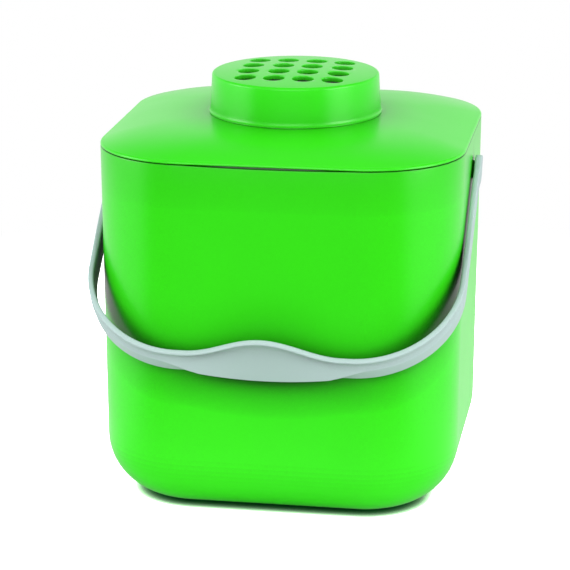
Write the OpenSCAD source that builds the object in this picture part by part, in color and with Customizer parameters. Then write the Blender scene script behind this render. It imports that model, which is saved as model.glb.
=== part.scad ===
// Kitchen compost caddy: bin, hinged domed lid, vented filter cap and a swinging bail handle.
// The origin is on the floor under the middle of the bin. The front is -Y and up is +Z.

/* [Bin] */
// Width of the bin at its rim, side to side
bin_w = 216; // [195:1:240]
// Depth of the bin at its rim, front to back
bin_d = 212; // [195:1:240]
// Height of the rim above the floor
rim_z = 214.3; // [180:0.1:250]
// Corner radius of the plan at the rim
corner_r = 58; // [48:1:64]
// Draft: how far each side leans in between rim and floor
draft = 1.7; // [0.5:0.1:4]
// Radius where the walls sweep into the base
base_r = 35.5; // [20:0.5:42]
// Wall thickness
wall = 2.8; // [2:0.1:4]
// Base thickness
base_t = 3.2; // [2.4:0.1:5]
// Rounding on the outer edge of the rim
rim_edge_r = 0.8; // [0.3:0.1:1.2]
// Width of the foot ring under the base
foot_w = 7; // [4:0.5:12]
// Radius of the flat disc in the middle of the base
foot_disc_r = 28; // [15:1:40]
// Depth of the channel between the foot ring and the disc
foot_relief = 1.2; // [0.5:0.1:2]
// Width of the finger relief at the front of the rim
lift_w = 48; // [30:1:70]
// Depth of the finger relief
lift_drop = 0.9; // [0.4:0.1:2]

/* [Handle pivots] */
// Height of the handle's pivot above the floor
pivot_z = 193; // [165:1:200]
// Radius of the handle's pegs
peg_r = 3.5; // [2.5:0.1:4.5]
// Radial running clearance round a peg
peg_clear = 0.08; // [0.03:0.01:0.1]
// Radius of the round boss outside each wall
boss_r = 5.4; // [4.8:0.1:7]
// How far each boss stands out from the rim's width
boss_out = 1; // [0.8:0.1:4]
// Radius of the thickened pad inside each wall
pad_r = 8; // [6:0.5:10]
// How far that pad stands into the bin
pad_in = 1.6; // [0.8:0.1:3]
// Gap between a boss and the handle's eye
eye_gap = 0.3; // [0.2:0.05:0.6]
// How far a peg's barb stands out beyond the peg
barb_out = 0.8; // [0.4:0.1:1.4]
// Length of a barb
barb_l = 4; // [3:0.5:6]
// Width of the spring slot across a peg's end
barb_slot = 1.4; // [0.8:0.1:2]

/* [Lid] */
// Gap between the lid's flange and the rim: the dark seam
seam_gap = 0.3; // [0.2:0.05:0.4]
// Height of the lid's edge above the rim, below the dome
lid_edge = 2.3; // [2.3:0.1:4]
// Rounding on the lid's upper edge
lid_edge_r = 1.5; // [1:0.1:1.5]
// Rounding on the lid's lower edge
lid_low_r = 0.4; // [0.2:0.1:0.4]
// Rise of the dome from the edge to the crown
dome_rise = 8.9; // [4:0.1:14]
// How flat the dome stays before it rolls off: a higher power is flatter
dome_power = 4.2; // [2:0.1:6]
// Thickness of the lid
lid_t = 2.3; // [1.8:0.1:3]
// Depth of the skirt that drops inside the rim
skirt_h = 9; // [5:0.5:14]
// Thickness of the skirt
skirt_t = 2; // [1.4:0.1:3]
// Clearance between the skirt and the bin's wall
skirt_clear = 0.5; // [0.3:0.05:1]

/* [Vent and filter] */
// Radius of the cap at its top edge
cap_r = 50.3; // [46:0.1:56]
// Draft: how much wider the cap is at its foot
cap_draft = 1; // [0.4:0.1:2]
// Height of the cap's top edge above the lid's crown
cap_h = 23.6; // [20:0.1:30]
// Rise of the cap's top in its middle
cap_crown = 1.8; // [0.5:0.1:4]
// Rounding of the cap's top edge
cap_edge_r = 1.6; // [0.8:0.1:2.2]
// Wall thickness of the cap
cap_t = 2.4; // [1.8:0.1:3]
// How far the cap's foot flares out into a thin lip
lip_out = 1.2; // [1:0.1:4]
// Thickness of that lip at its edge
lip_t = 0.9; // [0.6:0.1:1.5]
// Height over which the cap's side sweeps out into the lip
lip_sweep = 3; // [1.5:0.1:5]
// Vent holes along each side of the square grid
vent_n = 4; // [3:1:4]
// Radius of a vent hole
vent_r = 6.4; // [4:0.1:6.8]
// Distance between vent holes
vent_pitch = 17.4; // [16:0.1:18]
// How far the middle holes of an outer row are pushed outwards
vent_bow = 1.1; // [0:0.1:2]
// Radial clearance between the cap and the lid's collar
collar_clear = 0.3; // [0.2:0.05:0.6]
// Thickness of the collar
collar_t = 2; // [1.5:0.1:3]
// Height of the collar above the crown
collar_h = 14; // [10:0.5:18]
// Height of the flat seat for the cap above the crown
seat_h = 0.4; // [0.3:0.1:1]
// How far that seat's edge lies in under the cap's lip
seat_inset = 0.8; // [0.4:0.1:2]
// Thickness of the filter pad
filter_t = 12; // [8:0.5:16]
// Radial clearance round the filter pad
filter_clear = 0.4; // [0.3:0.1:1]
// Radius of a hole in the lid's grille under the filter
grille_r = 4.5; // [3:0.1:5]
// Distance between the rings of the grille
grille_pitch = 12; // [11:0.5:13]
// Rings of holes in the grille
grille_rings = 3; // [2:1:3]

/* [Hinge] */
// Width of the hinge over its outer knuckles
hinge_w = 60; // [54:1:84]
// Width of one lid knuckle
knuckle_w = 12; // [10:0.5:16]
// Radius of the knuckles
knuckle_r = 4.3; // [3.6:0.1:4.8]
// Distance of the hinge axis behind the rim
hinge_out = 5.8; // [5.2:0.1:7]
// Side gap between neighbouring knuckles
knuckle_gap = 0.4; // [0.3:0.05:0.8]
// Radius of the hinge pin
pin_r = 1.5; // [1.2:0.1:2]
// Radial running clearance round the hinge pin
pin_clear = 0.06; // [0.03:0.01:0.1]
// How far the bin's knuckle webs run down its back wall
web_drop = 17; // [12:1:26]
// Thickness of a lid knuckle's web
web_t = 3; // [2.4:0.1:4]
// Height of that web's underside above the lid's lower face
web_lift = 0.5; // [0.4:0.1:0.8]
// Angle at which the lid's heels meet the back wall and stop it
stop_angle = 105; // [95:1:120]
// Height of a heel's flat face
heel_h = 4.5; // [3:0.1:6]
// Gap between a heel and the back wall with the lid fully open
stop_gap = 0.3; // [0.2:0.05:0.6]

/* [Handle] */
// Gap between the rim at the front and the bar, with the handle level
bar_gap = 39; // [32:0.5:50]
// Width of the strap
strap_w = 15.2; // [10:0.2:18]
// Thickness of the strap at the bar
bar_t = 4.6; // [3.6:0.1:6]
// Thickness of the arms
arm_t = 3.4; // [2.6:0.1:4.4]
// How far the arms draw in from the eyes to the corners
arm_lean = 0.8; // [0:0.1:2]
// Radius of the round eyes at the pivots
eye_r = 8.6; // [7.4:0.1:10]
// Thickness of the eyes
eye_t = 4; // [3.5:0.1:5]
// Half the length of the grip
grip_half = 46; // [38:1:50]
// How far the grip widens upwards
grip_rise = 14.4; // [6:0.2:18]
// How far the grip widens downwards
grip_drop = 5; // [2:0.1:8]
// How far the lower lip of the grip flares out
grip_flare = 2.2; // [1:0.1:3]
// Length over which the grip's lower lip runs out along the strap
lip_run = 30; // [20:1:40]
// Width of the raised rim along the grip's upper edge
rim_bead_w = 1.6; // [1:0.1:2.4]
// Depth of the cove below that rim
cove_d = 1.5; // [0.6:0.1:2]
// Width of that cove
cove_w = 5.2; // [4:0.2:7]
// Share of the cove's depth that runs on along the strap
cove_run = 0.45; // [0.2:0.05:0.8]
// Width of the step from the raised rim down into the cove
cove_step = 0.4; // [0.2:0.1:0.6]
// Chamfer along the strap's lower outer edge
edge_chamfer = 0.5; // [0.2:0.1:1]
// Gap between the grip's lower edge and the front wall when the handle hangs
rest_gap = 0.35; // [0.3:0.05:0.8]

/* [Hidden] */
green = [0.24, 0.85, 0.12];
grey = [0.70, 0.78, 0.76];
charcoal = [0.13, 0.13, 0.14];
steel = [0.75, 0.76, 0.78];

corner_steps = 14;
fillet_steps = 8;
edge_steps = 3;
fine = 96;
small = 48;
overlap = 1;

half_w = bin_w / 2;
half_d = bin_d / 2;
crown_z = rim_z + lid_edge + dome_rise;
seat_z = crown_z + seat_h;

// Inset of the walls from the rim's plan at height z
function lean(z) = draft * (1 - z / rim_z);

// A closed ring of points at height z: the rim's plan drawn in by inset on every side
function ring(inset, z, hx = half_w, hy = half_d, r = corner_r) = [
    for (quarter = [0:3], k = [0:corner_steps])
        let (
            a = 90 * (quarter + k / corner_steps),
            sx = (quarter == 0 || quarter == 3) ? 1 : -1,
            sy = quarter < 2 ? 1 : -1
        )
        [sx * (hx - r) + (r - inset) * cos(a), sy * (hy - r) + (r - inset) * sin(a), z]
];

// The same ring shrunk towards the middle by the factor f
function shrunk_ring(inset, f, z) = [for (p = ring(inset, z)) [p.x * f, p.y * f, z]];

// A closed skin over rings that all have as many points. The first and last ring are closed by
// triangles that meet at their last point.
module loft(rings) {
    n = len(rings[0]);
    last = len(rings) - 1;
    sides = [
        for (i = [0:last - 1], j = [0:n - 1])
            let (a = i * n + j, b = i * n + (j + 1) % n)
            each [[a, a + n, b + n], [a, b + n, b]]
    ];
    top = last * n;
    ends = [for (j = [0:n - 3]) each [[n - 1, j, j + 1], [top + n - 1, top + j + 1, top + j]]];
    polyhedron([for (r = rings) each r], concat(ends, sides), convexity = 10);
}

// Plan of the rim in 2D, drawn in by inset
module plan(inset) {
    r = corner_r - inset;
    cx = half_w - corner_r;
    cy = half_d - corner_r;
    square([2 * (cx + r), 2 * cy], center = true);
    square([2 * cx, 2 * (cy + r)], center = true);
    for (sx = [-1, 1], sy = [-1, 1])
        translate([sx * cx, sy * cy]) circle(r = r, $fn = fine);
}

// Runs its children once at each side of the bin, with the second copy mirrored
module both_sides() {
    children();
    mirror([1, 0, 0]) children();
}

// BIN

pivot_wall = half_w - lean(pivot_z);
boss_face = half_w + boss_out;
pad_face = pivot_wall - wall - pad_in;
inner_r = base_r - wall;

bin_rings = concat(
    [for (k = [0:fillet_steps])
        let (a = 90 * k / fillet_steps, z = base_r * (1 - cos(a)))
        ring(lean(z) + base_r * (1 - sin(a)), z)],
    [for (k = [0:edge_steps])
        let (a = 90 * k / edge_steps)
        ring(rim_edge_r * (1 - cos(a)), rim_z - rim_edge_r * (1 - sin(a)))],
    [ring(wall, rim_z)],
    [for (k = [fillet_steps:-1:0])
        let (a = 90 * k / fillet_steps, z = base_t + inner_r * (1 - cos(a)))
        ring(lean(z) + wall + inner_r * (1 - sin(a)), z)]
);

module foot_channel() {
    ring_inset = lean(0) + base_r + foot_w;
    translate([0, 0, -overlap]) linear_extrude(height = foot_relief + overlap)
        difference() {
            plan(ring_inset);
            circle(r = foot_disc_r, $fn = fine);
        }
}

// A shallow arc cut in the outer half of the rim, where a fingertip finds the lid's edge
module lift_relief() {
    arc_r = (pow(lift_w / 2, 2) + pow(lift_drop, 2)) / (2 * lift_drop);
    translate([0, -half_d - overlap, rim_z + arc_r - lift_drop]) rotate([-90, 0, 0])
        cylinder(r = arc_r, h = wall / 2 + overlap, $fn = 360);
}

module pivot_boss() {
    translate([pivot_wall - wall / 2, 0, pivot_z]) rotate([0, 90, 0])
        cylinder(r = boss_r, h = boss_face - pivot_wall + wall / 2, $fn = small);
    translate([pad_face, 0, pivot_z]) rotate([0, 90, 0])
        cylinder(r = pad_r, h = pad_in + wall / 2, $fn = small);
}

module pivot_bore() {
    translate([pad_face - overlap, 0, pivot_z]) rotate([0, 90, 0])
        cylinder(r = peg_r + peg_clear, h = boss_face - pad_face + 2 * overlap, $fn = small);
}

module bin_body() {
    color(green) difference() {
        union() {
            loft(bin_rings);
            both_sides() pivot_boss();
            bin_knuckles();
        }
        both_sides() pivot_bore();
        hinge_bore();
        foot_channel();
        lift_relief();
    }
}

// HINGE

hinge_y = half_d + hinge_out;
hinge_z = rim_z;
centre_w = hinge_w / 3;
outer_w = (hinge_w - 2 * knuckle_w - centre_w) / 2 - 2 * knuckle_gap;
lid_knuckle_x = centre_w / 2 + knuckle_gap;
outer_knuckle_x = lid_knuckle_x + knuckle_w + knuckle_gap;

module hinge_bore() {
    translate([-half_w, hinge_y, hinge_z]) rotate([0, 90, 0])
        cylinder(r = pin_r + pin_clear, h = bin_w, $fn = small);
}

// A round knuckle from x to x + w, with the outline of its web added in the YZ plane
module knuckle(x, w, web) {
    translate([x, hinge_y, hinge_z]) rotate([0, 90, 0]) cylinder(r = knuckle_r, h = w, $fn = small);
    translate([x, 0, 0]) rotate([90, 0, 90]) linear_extrude(height = w) polygon(web);
}

// The bin's webs run from under the knuckles down the back wall
bin_web = [
    [half_d - wall / 2, rim_z - web_drop],
    [half_d - wall / 2, rim_z - 1.4 * knuckle_r],
    [half_d + overlap, rim_z - knuckle_r],
    [hinge_y - knuckle_r, hinge_z],
    [hinge_y + knuckle_r * cos(30), hinge_z - knuckle_r * sin(30)],
    [half_d, rim_z - web_drop]
];

module bin_knuckles() {
    knuckle(-centre_w / 2, centre_w, bin_web);
    both_sides() knuckle(outer_knuckle_x, outer_w, bin_web);
}

// The lid's webs run forward over the rim into the lid's edge
lid_web = [
    [half_d - wall, rim_z + seam_gap + web_lift],
    [hinge_y - knuckle_r / 2, rim_z + seam_gap + web_lift],
    [hinge_y, hinge_z + knuckle_r],
    [half_d - wall, rim_z + seam_gap + web_t]
];

// A lid knuckle's heel, whose flat face turns against the back wall when the lid is fully open
module heel() {
    reach = hinge_out - stop_gap;
    translate([lid_knuckle_x, hinge_y, hinge_z]) rotate([stop_angle, 0, 0])
        rotate([90, 0, 90]) linear_extrude(height = knuckle_w)
            polygon([[-(pin_r + knuckle_r) / 2, 0], [-reach, 0], [-reach, -heel_h], [0, 0.2 - knuckle_r]]);
}

module lid_knuckles() {
    both_sides() {
        knuckle(lid_knuckle_x, knuckle_w, lid_web);
        heel();
    }
}

module hinge_pin() {
    pin_l = 2 * (outer_knuckle_x + outer_w);
    color(steel) translate([-pin_l / 2, hinge_y, hinge_z]) rotate([0, 90, 0])
        cylinder(r = pin_r, h = pin_l, $fn = small);
}

// LID

dome_scales = [1, 0.97, 0.93, 0.88, 0.81, 0.72, 0.6, 0.44];
function dome_z(f) = rim_z + lid_edge + dome_rise * (1 - pow(f, dome_power));

skirt_inset = wall + skirt_clear;
hollow_inset = skirt_inset + skirt_t;
hollow_scale = (half_w - hollow_inset) / (half_w - lid_edge_r);

lid_rings = concat(
    [for (i = [len(dome_scales) - 1:-1:1])
        let (f = dome_scales[i])
        shrunk_ring(hollow_inset, f, dome_z(f * hollow_scale) - lid_t)],
    [ring(hollow_inset, dome_z(hollow_scale) - lid_t)],
    [ring(hollow_inset, rim_z - skirt_h)],
    [ring(skirt_inset + skirt_t / 4, rim_z - skirt_h)],
    [ring(skirt_inset, rim_z - skirt_h + skirt_t / 2)],
    [ring(skirt_inset, rim_z + seam_gap)],
    [for (k = [0:edge_steps])
        let (a = 90 * k / edge_steps)
        ring(lid_low_r * (1 - sin(a)), rim_z + seam_gap + lid_low_r * (1 - cos(a)))],
    [for (k = [0:edge_steps])
        let (a = 90 * k / edge_steps)
        ring(lid_edge_r * (1 - cos(a)), rim_z + lid_edge - lid_edge_r * (1 - sin(a)))],
    [for (i = [1:len(dome_scales) - 1])
        let (f = dome_scales[i])
        shrunk_ring(lid_edge_r, f, dome_z(f))]
);

cap_inner_r = cap_r + cap_draft - cap_t;
collar_r = cap_inner_r - cap_draft / 2 - collar_clear;
well_r = collar_r - collar_t;
seat_r = cap_r + cap_draft + lip_out - seat_inset;

// Flat round seat for the cap and the collar that centres it
module cap_seat() {
    seat_low = floor(10 * (dome_z(dome_scales[len(dome_scales) - 1]) - lid_t / 2)) / 10;
    translate([0, 0, seat_low]) cylinder(r = seat_r, h = seat_z - seat_low, $fn = fine);
    translate([0, 0, seat_z]) difference() {
        translate([0, 0, -lid_t / 4]) cylinder(r = collar_r, h = collar_h + lid_t / 4, $fn = fine);
        cylinder(r = well_r, h = collar_h + overlap, $fn = fine);
    }
}

// Rings of round holes that let air up into the filter
module grille_holes() {
    low = crown_z - lid_t - 2 * overlap;
    height = seat_z - low + overlap;
    translate([0, 0, low]) {
        cylinder(r = grille_r, h = height, $fn = small);
        for (i = [1:grille_rings - 1], k = [0:6 * i - 1])
            rotate(60 * k / i) translate([i * grille_pitch, 0])
                cylinder(r = grille_r, h = height, $fn = small);
    }
}

module lid() {
    color(green) difference() {
        union() {
            loft(lid_rings);
            cap_seat();
            lid_knuckles();
        }
        grille_holes();
        hinge_bore();
    }
}

// VENT CAP AND FILTER

cap_top = cap_h - seat_h;
cap_foot_r = cap_r + cap_draft;
crown_r = cap_r - cap_edge_r;

// Height of the crowned top at radius r
function crown(r) = cap_crown * (1 - pow(r / crown_r, 2));

cap_profile = concat(
    [[cap_inner_r, 0], [cap_foot_r + lip_out, 0]],
    [for (k = [0:4])
        let (a = 90 * k / 4)
        [cap_foot_r + lip_out * (1 - sin(a)), lip_t + lip_sweep * (1 - cos(a))]],
    [for (k = [0:4])
        let (a = 90 * k / 4)
        [crown_r + cap_edge_r * cos(a), cap_top - cap_edge_r * (1 - sin(a))]],
    [for (k = [4:-1:0]) [crown_r * k / 5, cap_top + crown(crown_r * k / 5)]],
    [for (k = [0:4]) [crown_r * k / 5, cap_top - cap_t + crown(crown_r * k / 5)]],
    [[cap_inner_r - cap_draft / 2, cap_top - cap_t]]
);

// Place of the vent hole in column i and row j, counted from the middle of the grid
function vent_at(i, j) = [
    vent_pitch * i + (abs(j) < 1 ? vent_bow * sign(i) * (abs(i) > 1 ? 1 : 0) : 0),
    vent_pitch * j + (abs(i) < 1 ? vent_bow * sign(j) * (abs(j) > 1 ? 1 : 0) : 0)
];

module vent_cap() {
    mid = (vent_n - 1) / 2;
    color(green) translate([0, 0, seat_z]) difference() {
        rotate_extrude($fn = fine) polygon(cap_profile);
        for (i = [-mid:mid], j = [-mid:mid])
            translate(vent_at(i, j)) cylinder(r = vent_r, h = cap_h + cap_crown + overlap, $fn = small);
    }
}

module carbon_filter() {
    color(charcoal) translate([0, 0, seat_z])
        cylinder(r = well_r - filter_clear, h = filter_t, $fn = fine);
}

// HANDLE

// The handle is drawn level: X is its width, v its reach from the pivots and n the strap's width.
bar_reach = half_d + bar_gap;
eye_face = boss_face + eye_gap;
arm_x = eye_face;
bend_r = corner_r;
bend_x = arm_x - arm_lean - bend_r;
bend_v = bar_reach - bend_r;

// The hanging angle at which the grip's lower edge meets the sloping front wall
wall_slope = draft / rim_z;
low_edge = strap_w / 2 + grip_drop;
rest_y = half_d - draft + wall_slope * pivot_z + rest_gap;
rest_a = bar_reach + wall_slope * low_edge;
rest_b = wall_slope * bar_reach - low_edge;
hang = atan2(rest_b, rest_a) + acos(rest_y / norm([rest_a, rest_b]));

bar_steps = 12;
bend_steps = 14;
arm_steps = 3;

// Stations from the middle of the bar to one eye: [x, v, outward x, outward v, path length]
half_stations = concat(
    [for (k = [0:bar_steps - 1]) let (x = bend_x * k / bar_steps) [x, bar_reach, 0, 1, x]],
    [for (k = [0:bend_steps])
        let (a = 90 * k / bend_steps)
        [bend_x + bend_r * sin(a), bend_v + bend_r * cos(a), sin(a), cos(a),
            bend_x + bend_r * a * PI / 180]],
    [for (k = [1:arm_steps])
        let (t = k / arm_steps)
        [arm_x - arm_lean * (1 - t), bend_v * (1 - t), 1, 0, bend_x + bend_r * PI / 2 + bend_v * t]]
);

drop_half = 0.9 * grip_half;
function fade(s, from, run) = s <= from ? 1 : max(0, 1 - (s - from) / run);
function upper(s) = strap_w / 2 + (s < grip_half ? grip_rise * pow(cos(90 * s / grip_half), 2) : 0);
function lower(s) = strap_w / 2 + (s < drop_half ? grip_drop * (1 - pow(s / drop_half, 2)) : 0);

// Section of the strap at a station, as [n, outward] points; s is the path length from the middle
function section(s, t) =
    let (
        hi = upper(s),
        lo = -lower(s),
        run = 1 - fade(s, grip_half, lip_run),
        lip = lo + 0.3 + run * strap_w * 0.6,
        flare = grip_flare * fade(s, grip_half, lip_run),
        cove = cove_d * (cove_run + (1 - cove_run) * fade(s, grip_half / 2, grip_half)),
        cove_n = hi - rim_bead_w - cove_w * (0.35 + 0.3 * fade(s, 0, grip_half))
    )
    [
        [hi, t], [hi - rim_bead_w, t], [hi - rim_bead_w - cove_step, t - cove * 0.8], [cove_n, t - cove],
        [(lip + cove_n) / 2, t + 0.25 * flare - cove / 4], [lip + 0.3, t + flare], [lip, t],
        [lo, t - edge_chamfer], [lo, 0], [hi, 0]
    ];

// The ring of points round the strap at one station, on the side given by sx
function strap_ring(st, sx) = [
    for (p = section(st[4], arm_t + (bar_t - arm_t) * st[3]))
        [sx * (st[0] + st[2] * p[1]), -(st[1] + st[3] * p[1]), p[0]]
];

bail_rings = concat(
    [for (k = [len(half_stations) - 1:-1:0]) strap_ring(half_stations[k], -1)],
    [for (k = [1:len(half_stations) - 1]) strap_ring(half_stations[k], 1)]
);

module eye_and_peg() {
    barb_x = pad_face - eye_gap;
    rotate([0, 90, 0]) {
        translate([0, 0, eye_face]) cylinder(r = eye_r, h = eye_t, $fn = small);
        difference() {
            union() {
                translate([0, 0, barb_x - barb_l / 2])
                    cylinder(r = peg_r, h = eye_face - barb_x + barb_l / 2 + eye_t / 2, $fn = small);
                translate([0, 0, barb_x - barb_l])
                    cylinder(r1 = peg_r - barb_out / 2, r2 = peg_r + barb_out, h = barb_l, $fn = small);
            }
            translate([-peg_r - barb_out - overlap, -barb_slot / 2, barb_x - barb_l - overlap])
                cube([2 * (peg_r + barb_out + overlap), barb_slot, barb_l + wall + pad_in + overlap]);
        }
    }
}

module bail_handle() {
    color(grey) translate([0, 0, pivot_z]) rotate([hang, 0, 0]) {
        loft(bail_rings);
        both_sides() eye_and_peg();
    }
}

bin_body();
lid();
hinge_pin();
vent_cap();
carbon_filter();
bail_handle();
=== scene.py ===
"""A kitchen compost caddy, dressed for its studio picture.

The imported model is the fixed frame. Each sub-assembly of the caddy is a class whose fields are its
real sizes in millimetres, and a mesh is turned into metres when it is made. The finishes and the
studio are classes too, in metres. The front of the caddy is -Y and up is +Z.
"""

import logging
import math
from collections.abc import Callable, Iterable, Mapping, Sequence
from dataclasses import dataclass, replace
from enum import Enum
from typing import Any

import bmesh
import bpy
from mathutils import Matrix, Vector, noise


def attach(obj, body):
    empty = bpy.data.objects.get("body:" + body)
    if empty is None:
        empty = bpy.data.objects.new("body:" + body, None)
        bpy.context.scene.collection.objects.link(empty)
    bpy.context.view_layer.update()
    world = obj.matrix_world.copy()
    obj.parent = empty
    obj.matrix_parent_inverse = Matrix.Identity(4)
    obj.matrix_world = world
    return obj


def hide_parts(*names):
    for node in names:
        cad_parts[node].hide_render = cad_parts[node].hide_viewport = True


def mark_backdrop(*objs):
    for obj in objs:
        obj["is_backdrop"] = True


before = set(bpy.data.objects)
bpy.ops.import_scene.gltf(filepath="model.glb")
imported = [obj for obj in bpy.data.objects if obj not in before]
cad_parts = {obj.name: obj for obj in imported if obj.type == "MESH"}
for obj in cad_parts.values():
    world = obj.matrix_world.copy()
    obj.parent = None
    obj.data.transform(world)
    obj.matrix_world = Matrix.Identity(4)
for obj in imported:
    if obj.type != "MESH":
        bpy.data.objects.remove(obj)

Point = tuple[float, float, float]
Flat = tuple[float, float]
Colour = tuple[float, float, float, float]
Node = bpy.types.Node
Tree = bpy.types.NodeTree
Socket = bpy.types.NodeSocket
Object = bpy.types.Object
Material = bpy.types.Material

MM = 0.001
LOG = logging.getLogger("caddy")
WHITE: Colour = (1.0, 1.0, 1.0, 1.0)
BLACK: Colour = (0.0, 0.0, 0.0, 1.0)
# Distance in metres within which points are merged, and below which an edge is dissolved
WELD = 1e-6
SLIVER = 1e-7


class Body(Enum):
    """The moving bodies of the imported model."""

    BIN = "bin"
    LID = "lid"
    CAP = "cap"
    HANDLE = "handle"


class Slot(Enum):
    """The record's material slots that the pieces made here take."""

    GREEN = "green_plastic"
    GREY = "grey_plastic"
    FOAM = "charcoal_foam"


class Join(Enum):
    """How a second solid changes the first."""

    ADD = "UNION"
    CUT = "DIFFERENCE"


# NODE TREES


def put(tree: Tree, kind: str, inputs: Mapping[Any, Any] | None = None, **settings: Any) -> Node:
    """Add a node, set its properties, and fill or wire its inputs.

    Args:
        tree: The tree that takes the node.
        kind: The node's type name.
        inputs: A value or a socket for each named or numbered input.
        **settings: Properties of the node itself.

    Returns:
        The new node.
    """
    node = tree.nodes.new(kind)
    for key, value in settings.items():
        setattr(node, key, value)
    for key, value in (inputs or {}).items():
        if isinstance(value, Socket):
            tree.links.new(value, node.inputs[key])
        else:
            node.inputs[key].default_value = value
    return node


def calc(tree: Tree, operation: str, first: Any, second: Any = 0.0, third: Any = 0.0) -> Socket:
    """Add a Math node and return its result.

    Args:
        tree: The tree that takes the node.
        operation: The Math node's operation.
        first: The first value or socket.
        second: The second value or socket.
        third: The third value or socket, for operations that take one.

    Returns:
        The result's socket.
    """
    values = {0: first, 1: second, 2: third}
    return put(tree, "ShaderNodeMath", values, operation=operation).outputs[0]


def vector_calc(tree: Tree, operation: str, *vectors: Any) -> Node:
    """Add a Vector Math node.

    Args:
        tree: The tree that takes the node.
        operation: The Vector Math node's operation.
        *vectors: A vector or a socket for each input that the operation takes.

    Returns:
        The node.
    """
    return put(tree, "ShaderNodeVectorMath", dict(enumerate(vectors)), operation=operation)


def split(tree: Tree, vector: Socket) -> Mapping[str, Socket]:
    """Add a Separate XYZ node and return its outputs X, Y and Z."""
    return put(tree, "ShaderNodeSeparateXYZ", {0: vector}).outputs


def object_place(tree: Tree) -> Socket:
    """Add a Texture Coordinate node and return the place on the object, in metres."""
    return put(tree, "ShaderNodeTexCoord").outputs["Object"]


def cloud(tree: Tree, place: Socket, scale: Any, **values: float) -> Socket:
    """Add a Noise Texture.

    Args:
        tree: The tree that takes the node.
        place: The socket of the place at which the noise is read.
        scale: The noise's scale, as a value or a socket.
        **values: The node's other inputs.

    Returns:
        The socket of the noise's value.
    """
    inputs = {"Vector": place, "Scale": scale, **values}
    return put(tree, "ShaderNodeTexNoise", inputs).outputs["Fac"]


def openness(tree: Tree, reach: Any, samples: int, **values: Any) -> Socket:
    """Add an Ambient Occlusion node.

    Args:
        tree: The tree that takes the node.
        reach: How far it looks for neighbours, in metres, as a value or a socket.
        samples: How many rays it sends out.
        **values: The node's other inputs.

    Returns:
        The socket of the share of the surroundings that is open.
    """
    inputs = {"Distance": reach, **values}
    return put(tree, "ShaderNodeAmbientOcclusion", inputs, samples=samples).outputs["AO"]


def blend(tree: Tree, share: Any, first: Any, second: Any) -> Socket:
    """Add a Mix node for values, which passes from the first to the second with the share."""
    values = {"Factor": share, "A": first, "B": second}
    return put(tree, "ShaderNodeMix", values, data_type="FLOAT").outputs["Result"]


def blend_colours(tree: Tree, share: Any, first: Any, second: Any, **settings: Any) -> Socket:
    """Add a Mix node for colours, whose colour sockets are found by their numbers.

    Args:
        tree: The tree that takes the node.
        share: How far the result passes from the first colour to the second.
        first: The first colour or socket.
        second: The second colour or socket.
        **settings: Properties of the node itself.

    Returns:
        The result's socket.
    """
    values = {0: share, 6: first, 7: second}
    return put(tree, "ShaderNodeMix", values, data_type="RGBA", **settings).outputs[2]


def ranged(
    tree: Tree,
    value: Socket,
    source: Sequence[Any],
    target: Sequence[Any] = (0.0, 1.0),
    soft: bool = False,
) -> Socket:
    """Map a value from one range to another and hold it at the ends.

    Args:
        tree: The tree that takes the node.
        value: The value's socket.
        source: The ends of the range that it is taken from, as values or sockets.
        target: The ends of the range that it is mapped to.
        soft: Whether it eases in and out at the ends.

    Returns:
        The result's socket.
    """
    ends = dict(zip(("From Min", "From Max", "To Min", "To Max"), (*source, *target)))
    kind = "SMOOTHSTEP" if soft else "LINEAR"
    values = {"Value": value, **ends}
    return put(tree, "ShaderNodeMapRange", values, interpolation_type=kind).outputs["Result"]


def new_tree(
    name: str, kind: str, inputs: Mapping[str, tuple[str, Any]], outputs: Mapping[str, str]
) -> tuple[Tree, Node]:
    """Start a node group with named inputs and outputs.

    Args:
        name: The group's name.
        kind: The tree's type name.
        inputs: For each input its socket type and its default, or None for no default.
        outputs: The socket type of each output.

    Returns:
        The tree, and its Group Input node.
    """
    tree = bpy.data.node_groups.new(name, kind)
    for label, (socket_type, default) in inputs.items():
        socket = tree.interface.new_socket(label, in_out="INPUT", socket_type=socket_type)
        if default is not None:
            socket.default_value = default
    for label, socket_type in outputs.items():
        tree.interface.new_socket(label, in_out="OUTPUT", socket_type=socket_type)
    return tree, tree.nodes.new("NodeGroupInput")


# SHADER GROUPS: the effects that several finishes share


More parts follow.
